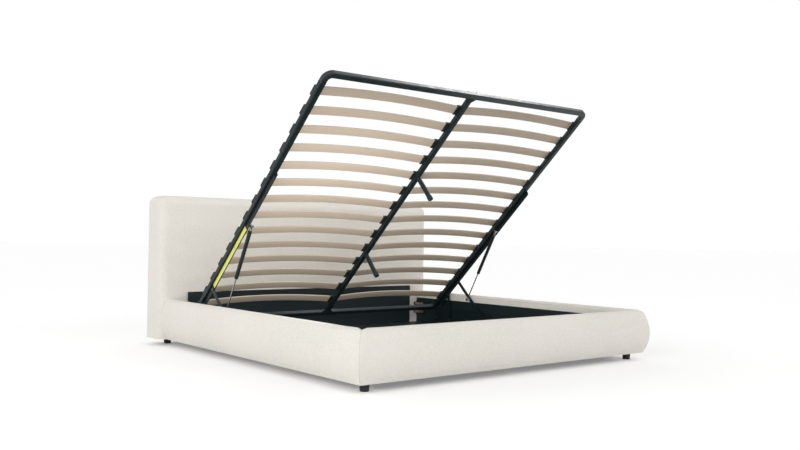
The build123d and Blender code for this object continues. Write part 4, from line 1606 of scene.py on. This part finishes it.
@dataclass
class WeldBeads:
    """Rippled weld beads where the platform's tubes and legs meet."""

    finishes: BedFinishes
    bead: float = 2.2 * MM
    ripple: float = 3.0 * MM
    ripple_share: float = 0.18
    legs: tuple[float, float] = (623.0 * MM, 1318.0 * MM)
    leg_radius: float = 14.0 * MM
    bend: float = 58.0 * MM
    round_power: float = 1.0
    square_power: float = 0.35
    outline_points: int = 120
    slices: int = 160
    sides: int = 6

    def loop(self, centre: Point, half: tuple[float, float], normal: int, power: float) -> np.ndarray:
        """Bead round a rounded rectangle or circle that lies square to one axis.

        Its line is half * sign(cos a) * |cos a|^power, and the same with sin a. The
        bead's radius swells by its share with the cosine of each ripple.

        Args:
            centre: Middle of the loop in the flat platform frame.
            half: Half sizes of the loop along the two other axes.
            normal: Axis that the loop lies square to.
            power: 1 for a circle; the smaller, the squarer.

        Returns:
            Rings of (slices, ring points, 3).
        """
        angle = np.linspace(0.0, 2 * math.pi, self.outline_points)
        first = half[0] * np.sign(np.cos(angle)) * np.abs(np.cos(angle)) ** power
        second = half[1] * np.sign(np.sin(angle)) * np.abs(np.sin(angle)) ** power
        line = resample(np.stack([first, second], axis=-1), self.slices)
        cosine, sine = circle(self.sides)
        length = np.linalg.norm(np.diff(line, axis=0), axis=1).sum()
        turns = np.linspace(0.0, 2 * math.pi * round(length / self.ripple), self.slices)
        swell = (self.bead * (1 + self.ripple_share * np.cos(turns)))[:, None]
        radial = line[:, None] + unit(line)[:, None] * (swell * cosine)[..., None]
        rings = np.empty((self.slices, self.sides, 3))
        rings[..., [axis for axis in range(3) if axis != normal]] = radial
        rings[..., normal] = swell * sine
        return rings + np.array(centre)

    def build(self) -> bpy.types.Object:
        """Beads at both ends of the centre beam, at the legs and at the tube joints.

        Returns:
            The beads, as one piece.
        """
        bed = LINES
        leg = (self.leg_radius, self.leg_radius)
        beam = (bed.beam_width / 2, bed.half_tube)
        tube = (bed.tube_width / 2, bed.half_tube)
        side_x = bed.platform_half - bed.tube_width / 2
        run = bed.tube_width / 2 + self.bend
        loops = []
        for place in self.legs:
            loops.append(self.loop((0.0, -place, -bed.half_tube), leg, 2, self.round_power))
        for place in (bed.tube_width, bed.platform_length - bed.tube_width):
            loops.append(self.loop((0.0, -place, 0.0), beam, 1, self.square_power))
        for place in (run, bed.platform_length - run):
            for side in (-1.0, 1.0):
                loops.append(self.loop((side * side_x, -place, 0.0), tube, 1, self.square_power))
        piece = make_piece("tube_welds", *closed_sweep(bed.raise_platform(np.stack(loops))))
        self.finishes.frame_paint.dress(piece)
        return place_piece(piece, "platform", "powder_coat")


# Round hardware


def turned(profile: np.ndarray, start: np.ndarray, axis: np.ndarray, sides: int = 32) -> np.ndarray:
    """Profile turned about a line.

    Each profile point (distance along the axis, radius) becomes a ring of points
    start + axis * distance + radius * (cos, sin) in the plane square to the axis. The
    ring starts from the X direction, or from Y where the line runs nearly along X.

    Args:
        profile: Array of (n, 2).
        start: Where the line starts.
        axis: Unit direction of the line.
        sides: Points of each ring.

    Returns:
        Array of (n, sides, 3).
    """
    helper = np.array([1.0, 0.0, 0.0]) if abs(axis[0]) < 0.9 else np.array([0.0, 1.0, 0.0])
    first = unit(np.cross(axis, helper))
    second = np.cross(axis, first)
    cosine, sine = circle(sides)
    ring = cosine[:, None] * first + sine[:, None] * second
    return start + profile[:, 0, None, None] * axis + profile[:, 1, None, None] * ring


@dataclass
class SocketHeads:
    """Domed socket heads set over the plain discs of a group of fasteners."""

    name: str
    radius: float
    spots: list[tuple[np.ndarray, np.ndarray]]
    finish: Finish
    body: str
    slot: str = "bright_steel"
    sides: int = 20
    steps: int = 8
    height_share: float = 0.42
    fall_share: float = 0.98
    socket_share: float = 0.42
    recess_shares: tuple[float, float, float] = (0.4, 0.38, 0.1)
    recess_depth_share: float = 0.3

    def profile(self) -> np.ndarray:
        """Dome from its rim inwards, and a round recess in its middle.

        The dome's height at radius r is height_share * radius * sqrt(1 - fall_share *
        (r / radius)^2). All shares are of the head's radius.

        Returns:
            Array of (n, 2): distance along the axis, and radius.
        """
        share = np.linspace(1.0, self.socket_share, self.steps)
        height = self.height_share * self.radius * np.sqrt(1 - share**2 * self.fall_share)
        floor = height[-1] - self.recess_depth_share * self.radius
        levels = np.concatenate([height, [height[-1], floor, floor]])
        return np.stack([levels, self.radius * np.concatenate([share, self.recess_shares])], axis=-1)

    def build(self) -> bpy.types.Object:
        """One turned head for each spot, its rim just above the disc.

        Returns:
            The heads, as one piece.
        """
        profile = self.profile()
        rings = np.stack([turned(profile, spot, axis, self.sides) for spot, axis in self.spots])
        piece = make_piece(self.name, *closed_sweep(rings), SHARP_HARDWARE)
        self.finish.dress(piece)
        return place_piece(piece, self.body, self.slot)


@dataclass
class LiftLinkage:
    """Arms, links, plates and fasteners of both sides."""

    finishes: BedFinishes
    nodes: dict[str, bpy.types.Object]
    bolt_places: tuple[float, ...] = (117.0 * MM, 218.0 * MM, 695.0 * MM, 1127.0 * MM)
    bolt_rise: float = -9.0 * MM
    bolt_radius: float = 6.6 * MM
    bolt_stand: float = 7.5 * MM
    screw_places: tuple[float, ...] = (227.0 * MM, 478.0 * MM, 559.0 * MM)
    screw_level: float = 107.0 * MM
    screw_radius: float = 6.2 * MM
    screw_stand: float = 7.0 * MM
    ground_y: float = 136.110 * MM

    def facing_in(self, spots: list[np.ndarray]) -> list[tuple[np.ndarray, np.ndarray]]:
        """Spots of both sides, each with its direction towards the middle of the bed.

        Args:
            spots: Points of the right side.

        Returns:
            Pairs of a point and a unit direction, the left side first.
        """
        found = []
        for side in (-1.0, 1.0):
            mirror = np.array([side, 1.0, 1.0])
            found += [(spot * mirror, np.array([-side, 0.0, 0.0])) for spot in spots]
        return found

    def bolt_heads(self) -> None:
        """Socket heads on the inner faces of the side tubes."""
        x = LINES.platform_half - LINES.tube_width - self.bolt_stand
        flat = np.array([[x, -place, self.bolt_rise] for place in self.bolt_places])
        spots = self.facing_in(list(LINES.raise_platform(flat)))
        steel = self.finishes.steel
        SocketHeads("arm_bolt_heads", self.bolt_radius, spots, steel, "platform").build()

    def screw_heads(self) -> None:
        """Socket heads of the base plates' screws."""
        x = LINES.inner_x - self.screw_stand
        places = [np.array([x, self.ground_y + place, self.screw_level]) for place in self.screw_places]
        spots = self.facing_in(places)
        steel = self.finishes.steel
        SocketHeads("plate_screw_heads", self.screw_radius, spots, steel, "bed_base").build()

    def build(self) -> None:
        """Dress the linkage and add its heads."""
        painted = both("lift_arm", "front_link", "rear_link", "base_plate")
        painted += ("corner_brackets", "headboard_brackets", "platform_bolts")
        self.finishes.frame_paint.dress_nodes(self.nodes, *painted)
        bright = ("arm_pivot_pins", "strut_upper_studs", "strut_lower_studs", "rear_link_rivets")
        bright += ("base_pivot_pins", "base_screws", "bracket_screws")
        self.finishes.steel.dress_nodes(self.nodes, *bright)
        self.finishes.copper.dress_nodes(self.nodes, "joint_bolts")
        self.finishes.marker.dress_nodes(self.nodes, "marker_strip")
        self.bolt_heads()
        self.screw_heads()


@dataclass
class GasStruts:
    """Gas struts with rolled ends, bright end fittings and thin rods."""

    finishes: BedFinishes
    nodes: dict[str, bpy.types.Object]
    top: Point = (928.0 * MM, 30.377 * MM, 744.934 * MM)
    direction: Point = (0.0, 0.501427, -0.865200)
    start: float = 30.0 * MM
    length: float = 312.0 * MM
    radius: float = 11.0 * MM
    roll: float = 4.0 * MM
    roll_points: int = 6
    groove_depth: float = 0.9 * MM
    groove_back: float = 24.0 * MM
    groove_front: float = 16.0 * MM
    groove_points: int = 12
    gland_radius: float = 6.2 * MM
    sides: int = 40

    def profile(self) -> np.ndarray:
        """Plain tube with both ends rolled in, and a groove near the gland.

        The ends are quarter arcs, and the groove is a cosine dip between its two
        distances from the gland's end.

        Returns:
            Array of (n, 2): distance along the axis, and radius.
        """
        end, core = self.start + self.length, self.radius - self.roll
        quarter = math.pi / 2
        nose = arc((self.start + self.roll, core), self.roll, math.pi, quarter, self.roll_points)
        along = np.linspace(end - self.groove_back, end - self.groove_front, self.groove_points)
        turn = np.linspace(0.0, 2 * math.pi, self.groove_points)
        dip = self.groove_depth / 2 * (1 - np.cos(turn))
        groove = np.stack([along, self.radius - dip], axis=-1)
        tail = arc((end - self.roll, core), self.roll, quarter, 0.0, self.roll_points)
        gland = np.array([[end, self.gland_radius]])
        return np.concatenate([nose, groove, tail, gland])

    def build(self) -> None:
        """Make both cylinders and dress the rest."""
        axis = np.array(self.direction)
        for name, side in (("right", 1.0), ("left", -1.0)):
            start = np.array(self.top) * np.array([side, 1.0, 1.0])
            skin = closed_sweep(turned(self.profile(), start, axis, self.sides))
            piece = make_piece(f"gas_cylinder_{name}", *skin, SHARP_STRUT)
            self.finishes.strut_paint.dress(piece)
            place_piece(piece, "strut_cylinders", "strut_paint", f"strut_cylinder_{name}")
        self.finishes.chrome.dress_nodes(self.nodes, "strut_top_ends", *both("strut_rod"))


@dataclass
class PlatformFrame:
    """Tubes, holders, legs and buttons of the platform."""

    finishes: BedFinishes
    nodes: dict[str, bpy.types.Object]

    def build(self) -> None:
        """Dress the frame's pieces."""
        painted = both("platform_side_tube")
        painted += ("platform_head_tube", "platform_centre_beam", "centre_legs")
        self.finishes.frame_paint.dress_nodes(self.nodes, *painted)
        self.finishes.glossy_paint.dress_nodes(self.nodes, "platform_foot_tube")
        rubbery = both("slat_holders") + ("slat_holders_centre", "leg_caps", "stop_buttons")
        self.finishes.rubber.dress_nodes(self.nodes, *rubbery)


@dataclass
class StorageBox:
    """Boards, floor, feet and the hidden timber."""

    finishes: BedFinishes
    nodes: dict[str, bpy.types.Object]

    def build(self) -> None:
        """Dress the box's pieces."""
        dark = both("side_liner", "floor_board") + ("foot_liner", "head_panel")
        self.finishes.board.dress_nodes(self.nodes, *dark)
        timber = both("side_rail_board") + ("foot_rail_board", "panel_spacers", "floor_ledgers")
        timber += ("centre_floor_rail", "headboard_frame")
        self.finishes.frame_wood.dress_nodes(self.nodes, *timber)
        self.finishes.felt.dress_nodes(self.nodes, "headboard_base_cloth")
        self.finishes.foot_plastic.dress_nodes(self.nodes, "corner_feet", "centre_feet")


# Studio


@dataclass(frozen=True)
class SoftLamp:
    """Square lamp at a place, turned towards another, that the camera doesn't see.

    A mirrored lamp only shows as a glint on glossy surfaces; the others never do.
    """

    name: str
    place: Point
    aim: Point
    size: float
    watts: float
    mirrored: bool = False

    def build(self) -> bpy.types.Object:
        """Set the lamp up.

        Returns:
            The lamp.
        """
        data = bpy.data.lights.new(self.name, "AREA")
        data.size = self.size
        data.energy = self.watts
        lamp = bpy.data.objects.new(self.name, data)
        lamp.visible_camera = False
        lamp.visible_glossy = self.mirrored
        lamp.visible_diffuse = not self.mirrored
        towards = Vector(self.aim) - Vector(self.place)
        turn = towards.to_track_quat("-Z", "Y").to_matrix().to_4x4()
        lamp.matrix_world = Matrix.Translation(self.place) @ turn
        bpy.context.scene.collection.objects.link(lamp)
        return lamp


@dataclass
class Studio:
    """Camera, floor, world and lamps."""

    key: SoftLamp = SoftLamp("key_lamp", (-4.8, -2.9, 1.5), (0.0, -0.2, 0.3), 2.6, 44.0)
    top: SoftLamp = SoftLamp("top_lamp", (0.5, 0.4, 4.2), (0.0, -0.2, 0.3), 3.0, 9.0)
    fill: SoftLamp = SoftLamp("fill_lamp", (-0.55, -0.9, 0.5), (-0.7, 0.9, 0.5), 0.6, 8.0)
    rim: SoftLamp = SoftLamp("rim_lamp", (2.2, -0.3, 3.9), (0.0, -0.2, 0.3), 1.2, 40.0, True)
    camera_place: Point = (-3.24395, -4.29389, 0.69236)
    heading: float = 0.696
    pitch: float = 0.0197
    roll: float = 0.0145
    focal: float = 875.09
    frame_width: float = 800.0
    frame_height: float = 450.0
    centre: tuple[float, float] = (433.09, 221.08)
    sensor: float = 36.0
    far_end: float = 200.0
    floor_half: float = 60.0
    floor_plain: float = 0.8
    band_level: float = 2.5
    band_height: float = 0.35
    band_end: float = 0.7
    zenith_level: float = 0.3
    floor_glow: float = 0.2
    floor_gain: float = 0.95

    def camera(self) -> None:
        """Camera from its heading, pitch and roll, with the frame shifted off its centre."""
        east, north = math.sin(self.heading), math.cos(self.heading)
        flat = math.cos(self.pitch)
        forward = Vector((east * flat, north * flat, math.sin(self.pitch)))
        level = Vector((north, -east, 0.0))
        upright = level.cross(forward)
        right = level * math.cos(self.roll) + upright * math.sin(self.roll)
        up = upright * math.cos(self.roll) - level * math.sin(self.roll)
        turn = Matrix((right, up, -forward)).transposed()
        data = bpy.data.cameras.new("photo_camera")
        data.sensor_width = self.sensor
        data.lens = self.focal / self.frame_width * self.sensor
        data.shift_x = (self.frame_width / 2 - self.centre[0]) / self.frame_width
        data.shift_y = (self.centre[1] - self.frame_height / 2) / self.frame_width
        data.clip_end = self.far_end
        camera = bpy.data.objects.new("photo_camera", data)
        camera.matrix_world = Matrix.Translation(self.camera_place) @ turn.to_4x4()
        bpy.context.scene.collection.objects.link(camera)
        bpy.context.scene.camera = camera

    def seen(self, graph: Graph) -> bpy.types.NodeSocket:
        """1 for rays from the camera, and those that mirror or pass through.

        Args:
            graph: Graph to work in.

        Returns:
            Output of 0 or 1.
        """
        path = graph.add("LightPath").outputs
        either = graph.math("MAXIMUM", path["Is Camera Ray"], path["Is Glossy Ray"])
        return graph.math("MAXIMUM", either, path["Is Transmission Ray"])

    def floor(self) -> None:
        """Wide pale floor that reads as white and keeps the bed's shadow."""
        signs = np.array([[-1.0, -1.0, 0.0], [1.0, -1.0, 0.0], [1.0, 1.0, 0.0], [-1.0, 1.0, 0.0]])
        corners = signs * self.floor_half
        floor = make_piece("studio_floor", corners, np.array([[0, 1, 2, 3]]))
        made = bpy.data.materials.new("studio_floor")
        made.use_nodes = True
        made.node_tree.nodes.clear()
        graph = Graph(made.node_tree)
        plain = (self.floor_plain,) * 3 + (1.0,)
        gained = (self.floor_gain,) * 3 + (1.0,)
        seen = self.seen(graph)
        shader = graph.add("BsdfDiffuse", None, Color=graph.mix(seen, plain, gained))
        glow = graph.add("Emission", None, Strength=graph.math("MULTIPLY", seen, self.floor_glow))
        both = graph.add("AddShader")
        graph.feed(both.inputs[0], shader.outputs[0])
        graph.feed(both.inputs[1], glow.outputs[0])
        graph.feed(graph.add("OutputMaterial").inputs["Surface"], both.outputs[0])
        floor.data.materials.append(made)

    def world(self) -> None:
        """White where it is seen; its light comes from a soft low band all around.

        The level rises evenly with the height z of the direction up to the band's
        middle, and falls from there to the level of the zenith at the band's end.
        """
        world = bpy.data.worlds.new("studio_world")
        world.use_nodes = True
        world.node_tree.nodes.clear()
        graph = Graph(world.node_tree)
        way = graph.add("TexCoord").outputs["Generated"]
        up = graph.add("SeparateXYZ", None, Vector=way).outputs[2]
        peak, middle = self.band_level, self.band_height
        rising = graph.spread(up, 0.0, middle, 0.0, peak)
        falling = graph.spread(up, middle, self.band_end, peak, self.zenith_level)
        light = graph.math("MINIMUM", rising, falling)
        level = graph.spread(self.seen(graph), 0.0, 1.0, light, 1.0)
        back = graph.add("Background", None, Color=(1.0, 1.0, 1.0, 1.0), Strength=level)
        graph.feed(graph.add("OutputWorld").inputs["Surface"], back.outputs[0])
        bpy.context.scene.world = world

    def build(self) -> None:
        """Set up the whole studio; the fill goes down with the platform."""
        bpy.context.scene.view_settings.view_transform = "Standard"
        self.camera()
        self.floor()
        self.world()
        self.key.build()
        self.top.build()
        fill = self.fill.build()
        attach(fill, "platform")
        self.rim.build()
        LOG.info("studio ready")


def main() -> None:
    """Build the studio and dress the bed, sub-assembly by sub-assembly."""
    logging.basicConfig(level=logging.INFO, format="%(message)s")
    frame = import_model()
    nodes = frame["nodes"]
    finishes = BedFinishes()
    Studio().build()
    StorageBox(finishes, nodes).build()
    PlatformFrame(finishes, nodes).build()
    Slats(finishes).build()
    WeldBeads(finishes).build()
    LiftLinkage(finishes, nodes).build()
    GasStruts(finishes, nodes).build()
    PaddedHeadboard(finishes).build()
    for place in RailPlace:
        PaddedRail(place, finishes).build()
    CornerStitches(finishes).build()


if __name__ == "__main__":
    main()
